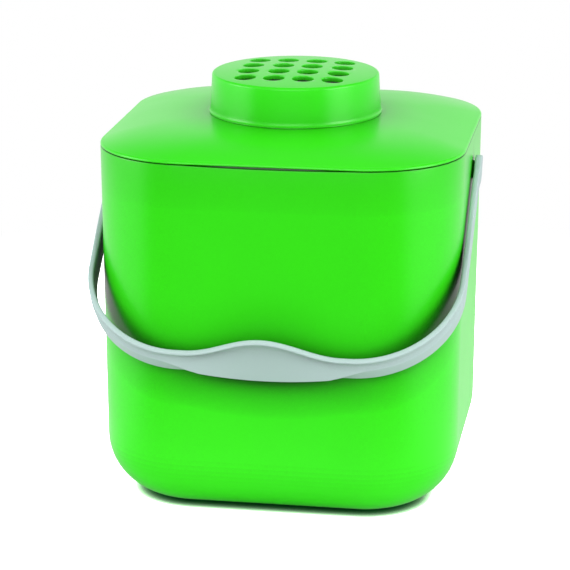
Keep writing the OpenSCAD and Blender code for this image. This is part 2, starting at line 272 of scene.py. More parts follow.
class SkinEffects:
    """The shader node groups of the caddy's finishes and of their painted shade, each built once."""

    def __init__(self) -> None:
        """Build every group."""
        self.grain = self.build_grain()
        self.drift = self.build_drift()
        self.marks = self.build_marks()
        self.crease_shade = self.build_crease_shade()
        self.limit = self.build_shade_limit()

    @staticmethod
    def build_grain() -> Tree:
        """Build the relief of a mould's skin: a fine grain over a long, slow waviness.

        Returns:
            A group that puts out a height from 0 to 1.
        """
        tree, given = new_tree(
            "mould_grain",
            "ShaderNodeTree",
            {
                "Grain Scale": ("NodeSocketFloat", 1400.0),
                "Wave Scale": ("NodeSocketFloat", 16.0),
                "Wave Share": ("NodeSocketFloat", 0.5),
            },
            {"Height": "NodeSocketFloat"},
        )
        place = object_place(tree)
        grain = cloud(tree, place, given.outputs["Grain Scale"], Detail=3.0, Roughness=0.6)
        wave = cloud(tree, place, given.outputs["Wave Scale"], Detail=1.0)
        height = blend(tree, given.outputs["Wave Share"], grain, wave)
        put(tree, "NodeGroupOutput", {"Height": height})
        return tree

    @staticmethod
    def build_drift() -> Tree:
        """Build the slow drift of a plastic's colour between two shades.

        Returns:
            A group that puts out a colour.
        """
        tree, given = new_tree(
            "colour_drift",
            "ShaderNodeTree",
            {
                "Colour": ("NodeSocketColor", (0.5, 0.5, 0.5, 1.0)),
                "Shade": ("NodeSocketColor", (0.4, 0.4, 0.4, 1.0)),
                "Scale": ("NodeSocketFloat", 9.0),
                "Amount": ("NodeSocketFloat", 0.5),
            },
            {"Colour": "NodeSocketColor"},
        )
        place = object_place(tree)
        patches = cloud(tree, place, given.outputs["Scale"], Detail=4.0, Roughness=0.55)
        share = calc(tree, "MULTIPLY", ranged(tree, patches, (0.3, 0.7)), given.outputs["Amount"])
        mixed = blend_colours(tree, share, given.outputs["Colour"], given.outputs["Shade"])
        put(tree, "NodeGroupOutput", {"Colour": mixed})
        return tree

    @staticmethod
    def build_marks() -> Tree:
        """Build the marks of handling: soft smears and fine upright rubs in the gloss.

        Returns:
            A group that puts out a roughness.
        """
        tree, given = new_tree(
            "handling_marks",
            "ShaderNodeTree",
            {
                "Roughness": ("NodeSocketFloat", 0.3),
                "Smear": ("NodeSocketFloat", 0.06),
                "Rub": ("NodeSocketFloat", 0.03),
                "Scale": ("NodeSocketFloat", 22.0),
            },
            {"Roughness": "NodeSocketFloat"},
        )
        rub_scale, rub_stretch, middle = 900.0, (1.0, 1.0, 0.06), 0.5
        place = object_place(tree)
        smear = cloud(tree, place, given.outputs["Scale"], Detail=5.0, Distortion=0.6)
        drawn = put(tree, "ShaderNodeMapping", {"Vector": place, "Scale": rub_stretch})
        rub = cloud(tree, drawn.outputs[0], rub_scale, Detail=2.0)
        result = given.outputs["Roughness"]
        for mark, amount in ((smear, "Smear"), (rub, "Rub")):
            spread = calc(tree, "SUBTRACT", mark, middle)
            result = calc(tree, "MULTIPLY_ADD", spread, given.outputs[amount], result)
        put(tree, "NodeGroupOutput", {"Roughness": result})
        return tree

    @staticmethod
    def build_crease_shade() -> Tree:
        """Build the painted shade that darkens a colour where a neighbour is close, by ambient
        occlusion.

        Returns:
            A group that puts out the share of the colour that is left, from a share so far.
        """
        tree, given = new_tree(
            "painted_crease_shade",
            "ShaderNodeTree",
            {
                "Share": ("NodeSocketFloat", 1.0),
                "Reach": ("NodeSocketFloat", 0.03),
                "Depth": ("NodeSocketFloat", 0.5),
            },
            {"Share": "NodeSocketFloat"},
        )
        # Painted shade: the share of open surroundings darkens the colour
        nearby = openness(tree, given.outputs["Reach"], samples=8)
        crease_shade_share = calc(tree, "POWER", nearby, given.outputs["Depth"])
        share = calc(tree, "MULTIPLY", crease_shade_share, given.outputs["Share"])
        put(tree, "NodeGroupOutput", {"Share": share})
        return tree

    @staticmethod
    def build_shade_limit() -> Tree:
        """Build the limit of the painted shade, by the height on the piece and by a least share.

        Returns:
            A group that puts out the share of the colour that is left, from a share so far.
        """
        tree, given = new_tree(
            "painted_shade_limit",
            "ShaderNodeTree",
            {
                "Share": ("NodeSocketFloat", 1.0),
                "Begin Height": ("NodeSocketFloat", -1.0),
                "Full Height": ("NodeSocketFloat", -0.9),
                "Least Share": ("NodeSocketFloat", 0.0),
            },
            {"Share": "NodeSocketFloat"},
        )
        height = split(tree, object_place(tree))["Z"]
        most = calc(tree, "SUBTRACT", 1.0, given.outputs["Least Share"])
        heights = (given.outputs["Begin Height"], given.outputs["Full Height"])
        counted = ranged(tree, height, heights, (0.0, most))
        least = calc(tree, "SUBTRACT", 1.0, counted)
        put(tree, "NodeGroupOutput", {"Share": calc(tree, "MAXIMUM", given.outputs["Share"], least)})
        return tree


def start_material(name: str) -> tuple[Material, Tree, Node]:
    """Start a material that holds one Principled shader.

    Args:
        name: The material's name.

    Returns:
        The material, its node tree and the shader node.
    """
    material = bpy.data.materials.new(name)
    material.use_nodes = True
    tree = material.node_tree
    return material, tree, tree.nodes["Principled BSDF"]


def use_group(tree: Tree, group: Tree, values: Mapping[str, Any]) -> Node:
    """Place a shader group in a material with its own values.

    Args:
        tree: The material's node tree.
        group: The shader group.
        values: A value for each of the group's inputs that differs from its default.

    Returns:
        The group's node.
    """
    return put(tree, "ShaderNodeGroup", values, node_tree=group)


def dress(tree: Tree, shader: Node, colour: Socket, marks: Node, bump: Mapping[str, Any]) -> None:
    """Wire a Principled shader's colour, roughness and bumped normal.

    Args:
        tree: The material's node tree.
        shader: The shader node.
        colour: The socket of its colour.
        marks: The node of the handling marks, which gives its roughness.
        bump: The strength, distance and height of its Bump node.
    """
    normal = put(tree, "ShaderNodeBump", bump).outputs["Normal"]
    wiring = {"Base Color": colour, "Roughness": marks.outputs["Roughness"], "Normal": normal}
    for name, socket in wiring.items():
        tree.links.new(socket, shader.inputs[name])


# FINISHES


@dataclass(frozen=True)
class MouldedPlastic:
    """Injection-moulded plastic with a satin gloss, its colour darkened by painted shade near its
    neighbours.

    Attributes:
        name: The material's name.
        colour: The plastic's colour, linear.
        shade: The slightly deeper colour that it drifts to.
        roughness: The middle of the gloss's roughness.
        ior: Refractive index of the plastic.
        relief: Height of the grain in metres.
        relief_share: How much of that relief shows.
        wave_share: How much of the relief is slow waviness.
        drift_scale: Scale of the colour's drift, per metre.
        crease_shades: How far a neighbour darkens the colour with painted shade, in metres, and how
            strongly, by layer.
        darkest_shade: Least share of the colour that is left in the deepest painted shade.
        crease_shade_z: Heights at which the painted shade begins to count and counts in full, in
            metres.
        hood: How far a neighbour above paints a shadow into the colour, in metres, and how strongly.
        hood_lift: Height that is added to the surface's normal for that painted shadow.
        hood_open: Open share about a raised normal where nothing is near: the part of it that
            goes with the two normals' cosine, and the rest.
    """

    name: str
    colour: Colour
    shade: Colour
    roughness: float
    ior: float = 1.49
    relief: float = 0.00008
    relief_share: float = 0.6
    wave_share: float = 0.75
    drift_scale: float = 9.0
    crease_shades: tuple[Flat, ...] = ((0.03, 0.65), (0.004, 0.4))
    darkest_shade: float = 0.0
    crease_shade_z: Flat = (-1.0, -0.9)
    hood: Flat = (0.0, 0.0)
    hood_lift: float = 1.2
    hood_open: Flat = (0.4, 0.6)

    def hooded(self, tree: Tree, open_share: Socket) -> Socket:
        """Paint a shadow under what stands above into the colour, as a share of open sky measured
        about a raised normal.

        Args:
            tree: The material's tree.
            open_share: The share so far.

        Returns:
            The lowered share.
        """
        reach, depth = self.hood
        with_cosine, rest = self.hood_open
        normal = put(tree, "ShaderNodeNewGeometry").outputs["Normal"]
        tilt = vector_calc(tree, "ADD", normal, (0.0, 0.0, self.hood_lift))
        raised = vector_calc(tree, "NORMALIZE", tilt.outputs["Vector"]).outputs["Vector"]
        cosine = vector_calc(tree, "DOT_PRODUCT", raised, normal).outputs["Value"]
        clear = calc(tree, "MULTIPLY_ADD", cosine, with_cosine, rest)
        share = calc(tree, "DIVIDE", openness(tree, reach, samples=16, Normal=raised), clear)
        share = calc(tree, "MULTIPLY_ADD", calc(tree, "SUBTRACT", share, 1.0), depth, 1.0)
        return calc(tree, "MULTIPLY", open_share, share)

    def material(self, effects: SkinEffects) -> Material:
        """Build the material from the shared effects."""
        material, tree, shader = start_material(self.name)
        shader.inputs["IOR"].default_value = self.ior
        shades = {"Colour": self.colour, "Shade": self.shade, "Scale": self.drift_scale}
        drift = use_group(tree, effects.drift, shades)
        marks = use_group(tree, effects.marks, {"Roughness": self.roughness})
        grain = use_group(tree, effects.grain, {"Wave Share": self.wave_share})
        # Painted shade: ambient occlusion near neighbours, and a painted shadow under what stands
        # above, darken the base colour
        open_share: Socket | float = 1.0
        for reach, depth in self.crease_shades:
            layer = {"Share": open_share, "Reach": reach, "Depth": depth}
            open_share = use_group(tree, effects.crease_shade, layer).outputs["Share"]
        if self.hood[1]:
            open_share = self.hooded(tree, open_share)
        begin, full = self.crease_shade_z
        limits = {"Begin Height": begin, "Full Height": full, "Least Share": self.darkest_shade}
        limit = use_group(tree, effects.limit, {"Share": open_share, **limits})
        painted_shade_colour = blend_colours(
            tree, limit.outputs["Share"], BLACK, drift.outputs["Colour"], clamp_factor=False
        )
        height = grain.outputs["Height"]
        bump = {"Strength": self.relief_share, "Distance": self.relief, "Height": height}
        dress(tree, shader, painted_shade_colour, marks, bump)
        return material


@dataclass(frozen=True)
class CarbonFoam:
    """Open-celled foam that holds charcoal.

    Attributes:
        name: The material's name.
        colour: The foam's colour between its cells, linear.
        dust: The greyer colour of the carbon dust on the struts, linear.
        cells: Cells per metre.
        uneven: How irregular the cells are, from 0 to 1.
        depth: Depth of a cell in metres.
        depth_share: How much of that depth shows.
        dust_scale: Scale of the dust's patches, per metre.
        dust_share: How far the colour passes to the dust's.
        roughness: The middle of the foam's roughness.
        smear: How far that roughness wanders.
        sheen: Weight of the fuzz on the struts.
        shine: Level of the struts' reflection.
    """

    name: str
    colour: Colour
    dust: Colour
    cells: float = 620.0
    uneven: float = 0.9
    depth: float = 0.0009
    depth_share: float = 0.9
    dust_scale: float = 160.0
    dust_share: float = 0.9
    roughness: float = 0.92
    smear: float = 0.1
    sheen: float = 0.15
    shine: float = 0.25

    def material(self, effects: SkinEffects) -> Material:
        """Build the material from the shared effects and the foam's own cells."""
        material, tree, shader = start_material(self.name)
        shader.inputs["Sheen Weight"].default_value = self.sheen
        shader.inputs["Specular IOR Level"].default_value = self.shine
        cell = put(
            tree,
            "ShaderNodeTexVoronoi",
            {"Vector": object_place(tree), "Scale": self.cells, "Randomness": self.uneven},
            feature="SMOOTH_F1",
        ).outputs["Distance"]
        shades = {"Colour": self.colour, "Shade": self.dust}
        patches = {"Scale": self.dust_scale, "Amount": self.dust_share}
        drift = use_group(tree, effects.drift, {**shades, **patches})
        handled = {"Roughness": self.roughness, "Smear": self.smear, "Rub": 0.0}
        marks = use_group(tree, effects.marks, handled)
        bump = {"Strength": self.depth_share, "Distance": self.depth, "Height": cell}
        dress(tree, shader, drift.outputs["Colour"], marks, bump)
        return material


@dataclass(frozen=True)
class DrawnSteel:
    """Bright drawn steel wire with fine marks along its length.

    Attributes:
        name: The material's name.
        colour: The metal's colour, linear.
        dull: The duller colour between the marks, linear.
        dull_scale: Scale of the dull patches, per metre.
        roughness: The middle of the metal's roughness.
        smear: How far that roughness wanders.
        lines: Scale of the draw marks across the wire, per metre.
        stretch: Their scale along the wire, as a share of that.
        depth: Their depth in metres.
        depth_share: How much of that depth shows.
    """

    name: str
    colour: Colour
    dull: Colour
    dull_scale: float = 300.0
    roughness: float = 0.3
    smear: float = 0.15
    lines: float = 6000.0
    stretch: float = 0.02
    depth: float = 0.00002
    depth_share: float = 0.5

    def material(self, effects: SkinEffects) -> Material:
        """Build the material from the shared effects and the wire's own draw marks."""
        material, tree, shader = start_material(self.name)
        shader.inputs["Metallic"].default_value = 1.0
        shades = {"Colour": self.colour, "Shade": self.dull, "Scale": self.dull_scale}
        drift = use_group(tree, effects.drift, shades)
        marks = use_group(tree, effects.marks, {"Roughness": self.roughness, "Smear": self.smear})
        along = {"Vector": object_place(tree), "Scale": (self.stretch, 1.0, 1.0)}
        drawn = put(tree, "ShaderNodeMapping", along)
        line = cloud(tree, drawn.outputs[0], self.lines)
        bump = {"Strength": self.depth_share, "Distance": self.depth, "Height": line}
        dress(tree, shader, drift.outputs["Colour"], marks, bump)
        return material


# MESHES


def finish_form(name: str, form: bmesh.types.BMesh) -> Object:
    """Turn a bmesh in millimetres into an object in metres whose faces look outwards.

    Args:
        name: The object's name.
        form: The bmesh, which is freed.

    Returns:
        The object, linked to the scene.
    """
    if form.calc_volume(signed=True) < 0:
        bmesh.ops.reverse_faces(form, faces=form.faces)
    bmesh.ops.scale(form, vec=(MM, MM, MM), verts=form.verts)
    mesh = bpy.data.meshes.new(name)
    form.to_mesh(mesh)
    form.free()
    obj = bpy.data.objects.new(name, mesh)
    bpy.context.scene.collection.objects.link(obj)
    return obj


def loft(name: str, rings: Sequence[Sequence[Point]], place: Matrix | None = None) -> Object:
    """Skin rings of equally many points into one closed solid.

    Args:
        name: The object's name.
        rings: The rings in order. A first or last ring of one point is a pole, and any other end
            is closed by a fan round its middle.
        place: Where the solid goes, in millimetres.

    Returns:
        The object.
    """
    form = bmesh.new()
    rows = [[form.verts.new(point) for point in ring] for ring in rings]
    for end in (0, -1):
        if len(rows[end]) > 1:
            middle = sum((v.co for v in rows[end]), Vector()) / len(rows[end])
            rows.insert(0 if end == 0 else len(rows), [form.verts.new(middle)])
    for near, far in zip(rows, rows[1:]):
        count = max(len(near), len(far))
        for j in range(count):
            k = (j + 1) % count
            if len(near) == 1:
                form.faces.new((near[0], far[k], far[j]))
            elif len(far) == 1:
                form.faces.new((near[j], near[k], far[0]))
            else:
                form.faces.new((near[j], near[k], far[k], far[j]))
    if place is not None:
        bmesh.ops.transform(form, matrix=place, verts=form.verts)
    return finish_form(name, form)


def circle(radius: float, height: float, steps: int) -> list[Point]:
    """Points round a circle about the Z axis."""
    turns = [2 * math.pi * k / steps for k in range(steps)]
    return [(radius * math.cos(a), radius * math.sin(a), height) for a in turns]


def lathe(name: str, profile: Sequence[Flat], steps: int, place: Matrix | None = None) -> Object:
    """Turn a profile that starts and ends on the Z axis into a solid of revolution.

    Args:
        name: The object's name.
        profile: Radius and height of each point, the first and last with radius 0.
        steps: Points round the axis.
        place: Where the solid goes, in millimetres.

    Returns:
        The object.
    """
    (_, low), *between, (_, high) = profile
    rings = [circle(radius, height, steps) for radius, height in between]
    return loft(name, [[(0.0, 0.0, low)], *rings, [(0.0, 0.0, high)]], place)


def along_x(x: float, y: float, z: float) -> Matrix:
    """The placing that turns a lathe's axis to +X and starts it at a point."""
    return Matrix.Translation((x, y, z)) @ Matrix.Rotation(math.pi / 2, 4, "Y")


def across(place: Matrix) -> Matrix:
    """The same placing mirrored to the other side of the caddy."""
    return Matrix.Scale(-1, 4, (1, 0, 0)) @ place


def bar_section(
    outline: Sequence[Flat], start: float, end: float, soften: float, name: str
) -> Object:
    """Extrude an outline in the YZ plane along X, with its two ends' edges softened.

    Args:
        outline: The outline's points as Y and Z.
        start: Where the bar starts on X.
        end: Where it ends.
        soften: Width of the softening of the edges at both ends.
        name: The object's name.

    Returns:
        The object.
    """
    form = bmesh.new()
    near = [form.verts.new((start, y, z)) for y, z in outline]
    far = [form.verts.new((end, y, z)) for y, z in outline]
    count = len(outline)
    for j in range(count):
        k = (j + 1) % count
        form.faces.new((near[j], near[k], far[k], far[j]))
    caps = [form.faces.new(near), form.faces.new(far[::-1])]
    if form.calc_volume(signed=True) < 0:
        bmesh.ops.reverse_faces(form, faces=form.faces)
    edges = [edge for cap in caps for edge in cap.edges]
    bmesh.ops.bevel(form, geom=edges, offset=soften, segments=2, profile=0.5, affect="EDGES")
    return finish_form(name, form)


def arc(centre: Flat, radius: float, start: float, end: float, steps: int) -> list[Flat]:
    """Points on an arc from one angle to another, both in degrees."""
    angles = [math.radians(start + (end - start) * k / steps) for k in range(steps + 1)]
    return [(centre[0] + radius * math.cos(a), centre[1] + radius * math.sin(a)) for a in angles]


def quarter(steps: int) -> list[Flat]:
    """Sine and cosine of the angles from 0 to 90 degrees, in even steps."""
    angles = [math.pi / 2 * k / steps for k in range(steps + 1)]
    return [(math.sin(a), math.cos(a)) for a in angles]


def soft_corner(
    radius: float, height: float, aside: int, along: int, soft: float = 0.5
) -> list[Flat]:
    """Three points that soften a turned edge, from its flat side round to its upright one.

    Args:
        radius: Radius of the upright side.
        height: Height of the flat side.
        aside: -1 where the flat side lies within that radius, 1 where it lies beyond.
        along: 1 where the upright side runs up from the edge, -1 where it runs down.
        soft: How far the softening reaches along both sides.

    Returns:
        The points, each as radius and height.
    """
    near = 0.3 * soft
    return [
        (radius + aside * soft, height),
        (radius + aside * near, height + along * near),
        (radius, height + along * soft),
    ]


def softened(corners: Sequence[Flat], radii: Sequence[float], steps: int) -> list[Flat]:
    """Round each corner of a closed outline with a fixed number of points.

    Args:
        corners: The outline's corners.
        radii: How far the rounding reaches along the two edges of each corner, which is held to
            a little less than half of an edge.
        steps: Points in each rounding, less one.

    Returns:
        The points of the softened outline.
    """
    points: list[Flat] = []
    count = len(corners)
    shortest, most = 1e-6, 0.48
    for j, (corner, radius) in enumerate(zip(corners, radii)):
        here = Vector(corner)
        arms = [Vector(corners[(j - 1) % count]) - here, Vector(corners[(j + 1) % count]) - here]
        ends = [here + arm * min(radius / max(arm.length, shortest), most) for arm in arms]
        for k in range(steps + 1):
            t = k / steps
            spot = ends[0] * (1 - t) ** 2 + here * 2 * t * (1 - t) + ends[1] * t**2
            points.append((spot.x, spot.y))
    return points


def baked(obj: Object) -> None:
    """Give an object its evaluated mesh and take its modifiers off."""
    view = bpy.context.evaluated_depsgraph_get()
    view.update()
    mesh = bpy.data.meshes.new_from_object(obj.evaluated_get(view))
    obj.modifiers.clear()
    old = obj.data
    obj.data = mesh
    bpy.data.meshes.remove(old)


def combine(target: Object, tools: Sequence[Object], how: Join) -> None:
    """Add solids to a target or cut them out of it, and delete them.

    Args:
        target: The solid that is changed.
        tools: The solids that are added or cut out.
        how: Whether they are added or cut out.
    """
    for tool in tools:
        change = target.modifiers.new(how.name.lower(), "BOOLEAN")
        change.operation = how.value
        change.solver = "EXACT"
        change.object = tool
    baked(target)
    for tool in tools:
        bpy.data.objects.remove(tool)


def smoothed(obj: Object, sharp: float = 34.0) -> None:
    """Merge what touches, shade smooth, and keep edges over an angle sharp.

    Args:
        obj: The object.
        sharp: The angle in degrees over which an edge stays sharp.
    """
    form = bmesh.new()
    form.from_mesh(obj.data)
    bmesh.ops.remove_doubles(form, verts=form.verts, dist=WELD)
    bmesh.ops.dissolve_degenerate(form, edges=form.edges, dist=SLIVER)
    open_edges = sum(1 for edge in form.edges if not edge.is_manifold)
    form.to_mesh(obj.data)
    form.free()
    if open_edges:
        LOG.warning("%s has %d edges that aren't closed", obj.name, open_edges)
    obj.data.shade_smooth()
    obj.data.set_sharp_from_angle(angle=math.radians(sharp))


def through_tree(obj: Object, tree: Tree, values: Mapping[str, Any]) -> None:
    """Run an object through a geometry tree and keep the result as its mesh.

    Args:
        obj: The object that the tree changes.
        tree: The geometry node tree.
        values: A value for each named input of the tree.
    """
    change = obj.modifiers.new(tree.name, "NODES")
    change.node_group = tree
    for item in tree.interface.items_tree:
        if item.item_type == "SOCKET" and item.in_out == "INPUT" and item.name in values:
            change[item.identifier] = values[item.name]
    baked(obj)


# PERFORATIONS: geometry trees that punch holes where a pattern puts them


def finish_tree(tree: Tree, given: Node, spots: Socket, turn: Socket | None) -> None:
    """End a perforating tree: stand a cutter on each spot, cut, realize and give the finish.

    Args:
        tree: The tree.
        given: Its Group Input node.
        spots: The points that take a hole.
        turn: The cutters' rotation, or None for upright ones.
    """
    cutter = put(tree, "GeometryNodeObjectInfo", {"Object": given.outputs["Cutter"]})
    wiring: dict[str, Any] = {"Points": spots, "Instance": cutter.outputs["Geometry"]}
    if turn is not None:
        wiring["Rotation"] = turn
    stood = put(tree, "GeometryNodeInstanceOnPoints", wiring)
    solid = put(tree, "GeometryNodeRealizeInstances", {"Geometry": stood.outputs[0]})
    cut = put(
        tree,
        "GeometryNodeMeshBoolean",
        {"Mesh 1": given.outputs["Body"], "Mesh 2": solid.outputs[0]},
        operation="DIFFERENCE",
        solver="EXACT",
    )
    whole = put(tree, "GeometryNodeRealizeInstances", {"Geometry": cut.outputs["Mesh"]})
    dressed = put(
        tree,
        "GeometryNodeSetMaterial",
        {"Geometry": whole.outputs[0], "Material": given.outputs["Finish"]},
    )
    put(tree, "NodeGroupOutput", {"Body": dressed.outputs[0]})


def vent_grid_tree() -> Tree:
    """Build the tree that punches a square grid of vents in a crowned cap.

    The middle holes of the outer rows are pushed outwards, and each cutter stands square on the
    crown, so that its softened lip is even all round.

    Returns:
        The tree.
    """
    tree, given = new_tree(
        "vent_grid",
        "GeometryNodeTree",
        {
            "Body": ("NodeSocketGeometry", None),
            "Cutter": ("NodeSocketObject", None),
            "Holes A Side": ("NodeSocketInt", 4),
            "Pitch": ("NodeSocketFloat", 0.0174),
            "Bow": ("NodeSocketFloat", 0.0011),
            "Crown Rise": ("NodeSocketFloat", 0.0018),
            "Crown Radius": ("NodeSocketFloat", 0.0484),
            "Top": ("NodeSocketFloat", 0.25),
            "Finish": ("NodeSocketMaterial", None),
        },
        {"Body": "NodeSocketGeometry"},
    )
    pitch, bow = given.outputs["Pitch"], given.outputs["Bow"]
    count = given.outputs["Holes A Side"]
    side = calc(tree, "MULTIPLY", pitch, calc(tree, "SUBTRACT", count, 1.0))
    sizes = {"Size X": side, "Size Y": side, "Vertices X": count, "Vertices Y": count}
    grid = put(tree, "GeometryNodeMeshGrid", sizes)
    spot = split(tree, put(tree, "GeometryNodeInputPosition").outputs[0])

    def pushed(along: Socket, beside: Socket) -> Socket:
        """A coordinate, pushed out where it is an outer one beside an inner one."""
        outer = calc(tree, "GREATER_THAN", calc(tree, "ABSOLUTE", along), pitch)
        inner = calc(tree, "LESS_THAN", calc(tree, "ABSOLUTE", beside), pitch)
        push = calc(tree, "MULTIPLY", calc(tree, "SIGN", along), calc(tree, "MULTIPLY", outer, inner))
        return calc(tree, "MULTIPLY_ADD", push, bow, along)

    x = pushed(spot["X"], spot["Y"])
    y = pushed(spot["Y"], spot["X"])
    reach = given.outputs["Crown Radius"]
    fall = calc(tree, "DIVIDE", given.outputs["Crown Rise"], calc(tree, "MULTIPLY", reach, reach))
    square = calc(tree, "MULTIPLY_ADD", x, x, calc(tree, "MULTIPLY", y, y))
    crown = calc(tree, "ADD", given.outputs["Top"], given.outputs["Crown Rise"])
    z = calc(tree, "SUBTRACT", crown, calc(tree, "MULTIPLY", fall, square))
    place = put(tree, "ShaderNodeCombineXYZ", {"X": x, "Y": y, "Z": z}).outputs[0]
    moved = put(
        tree, "GeometryNodeSetPosition", {"Geometry": grid.outputs["Mesh"], "Position": place}
    )
    slope = calc(tree, "MULTIPLY", fall, 2.0)
    held = split(tree, put(tree, "GeometryNodeInputPosition").outputs[0])
    leaning = {axis: calc(tree, "MULTIPLY", held[axis], slope) for axis in "XY"}
    normal = put(tree, "ShaderNodeCombineXYZ", {**leaning, "Z": 1.0}).outputs[0]
    turn = put(tree, "FunctionNodeAlignRotationToVector", {"Vector": normal}, axis="Z")
    finish_tree(tree, given, moved.outputs["Geometry"], turn.outputs[0])
    return tree


def ring_grille_tree(rings: int) -> Tree:
    """Build the tree that punches a middle hole and rings of 6, 12, ... holes round it.

    Args:
        rings: Rings of holes, the middle hole included.

    Returns:
        The tree.
    """
    tree, given = new_tree(
        "ring_grille",
        "GeometryNodeTree",
        {
            "Body": ("NodeSocketGeometry", None),
            "Cutter": ("NodeSocketObject", None),
            "Pitch": ("NodeSocketFloat", 0.012),
            "Height": ("NodeSocketFloat", 0.2),
            "Finish": ("NodeSocketMaterial", None),
        },
        {"Body": "NodeSocketGeometry"},
    )
    spots = put(tree, "GeometryNodeJoinGeometry")
    tree.links.new(put(tree, "GeometryNodePoints", {"Count": 1}).outputs[0], spots.inputs[0])
    for i in range(1, rings):
        radius = calc(tree, "MULTIPLY", given.outputs["Pitch"], float(i))
        ring = put(tree, "GeometryNodeMeshCircle", {"Vertices": 6 * i, "Radius": radius})
        tree.links.new(ring.outputs[0], spots.inputs[0])
    lift = put(tree, "ShaderNodeCombineXYZ", {"Z": given.outputs["Height"]})
    raised = put(
        tree, "GeometryNodeSetPosition", {"Geometry": spots.outputs[0], "Offset": lift.outputs[0]}
    )
    finish_tree(tree, given, raised.outputs["Geometry"], None)
    return tree


# SUB-ASSEMBLIES


@dataclass(frozen=True)
class RimPlan:
    """The rounded-square plan of the caddy at its rim.

    Attributes:
        half_w: Half the width.
        half_d: Half the depth.
        corner: Corner radius.
        corner_steps: Points round each corner, less one.
        side_steps: Steps along each straight side.
    """

    half_w: float = 108.0
    half_d: float = 106.0
    corner: float = 58.0
    corner_steps: int = 32
    side_steps: int = 12

    def outline(self, inset: float) -> list[Flat]:
        """The plan's points, drawn in on every side by an inset."""
        across_x, across_y = self.half_w - self.corner, self.half_d - self.corner
        radius = self.corner - inset
        signs = ((1, 1), (-1, 1), (-1, -1), (1, -1))
        corners = [
            arc((sx * across_x, sy * across_y), radius, 90 * q, 90 * q + 90, self.corner_steps)
            for q, (sx, sy) in enumerate(signs)
        ]
        points: list[Flat] = []
        for q, turn in enumerate(corners):
            (x0, y0), (x1, y1) = turn[-1], corners[(q + 1) % 4][0]
            points += turn
            for k in range(1, self.side_steps):
                t = k / self.side_steps
                points.append((x0 * (1 - t) + x1 * t, y0 * (1 - t) + y1 * t))
        return points

    def ring(self, inset: float, height: float) -> list[Point]:
        """A level ring of the plan, drawn in by an inset."""
        return [(x, y, height) for x, y in self.outline(inset)]

    def round_ring(self, radius: float, height: float) -> list[Point]:
        """A level circle whose points stand at the same angles as the plan's."""
        bearings = [math.atan2(y, x) for x, y in self.outline(0)]
        return [(radius * math.cos(a), radius * math.sin(a), height) for a in bearings]


@dataclass(frozen=True)
class Hinge:
    """The hinge behind the rim, shared by the bin and the lid.

    Attributes:
        axis_y: Y of the hinge axis.
        axis_z: Height of the hinge axis.
        knuckle_r: Radius of the knuckles.
        knuckle_w: Width of a lid knuckle.
        centre_w: Width of the bin's middle knuckle.
        outer_w: Width of the bin's outer knuckles.
        gap: Side gap between neighbours.
        bore_r: Radius of the bore.
        soften: Softening of the knuckles' edges.
    """

    axis_y: float = 111.8
    axis_z: float = 214.3
    knuckle_r: float = 4.3
    knuckle_w: float = 12.0
    centre_w: float = 20.0
    outer_w: float = 7.2
    gap: float = 0.4
    bore_r: float = 1.56
    soften: float = 0.45

    @property
    def lid_x(self) -> float:
        """Where a lid knuckle starts on X."""
        return self.centre_w / 2 + self.gap

    @property
    def outer_x(self) -> float:
        """Where an outer knuckle of the bin starts on X."""
        return self.lid_x + self.knuckle_w + self.gap

    def knuckles(self, outline: Sequence[Flat], spans: Iterable[Flat]) -> list[Object]:
        """Make a knuckle with its web for each span on X."""
        return [
            bar_section(outline, start, end, self.soften, f"knuckle_{i}")
            for i, (start, end) in enumerate(spans)
        ]

    def bore(self) -> Object:
        """The cutter of the hinge bore."""
        length = 2 * (self.outer_x + self.outer_w) + 20
        profile = [(0.0, 0.0), (self.bore_r, 0.0), (self.bore_r, length), (0.0, length)]
        return lathe("hinge_bore", profile, 48, along_x(-length / 2, self.axis_y, self.axis_z))


@dataclass
class SubAssembly:
    """What every sub-assembly of the caddy has.

    Attributes:
        finish: The material of its main piece.
    """

    finish: Material

    def settle(self, obj: Object, body: Body, slot: Slot, *nodes: str) -> Object:
        """Dress a piece in the finish, ride it on its body and report it.

        Args:
            obj: The piece.
            body: The body that carries it.
            slot: The material slot that it takes its finish from; not used.
            *nodes: The CAD nodes that it stands for.

        Returns:
            The same piece.
        """
        obj.data.materials.clear()
        obj.data.materials.append(self.finish)
        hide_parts(*nodes)
        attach(obj, body.value)
        faces = sum(len(face.vertices) - 2 for face in obj.data.polygons)
        LOG.info("%s rides on %s: %d triangles", obj.name, body.value, faces)
        return obj


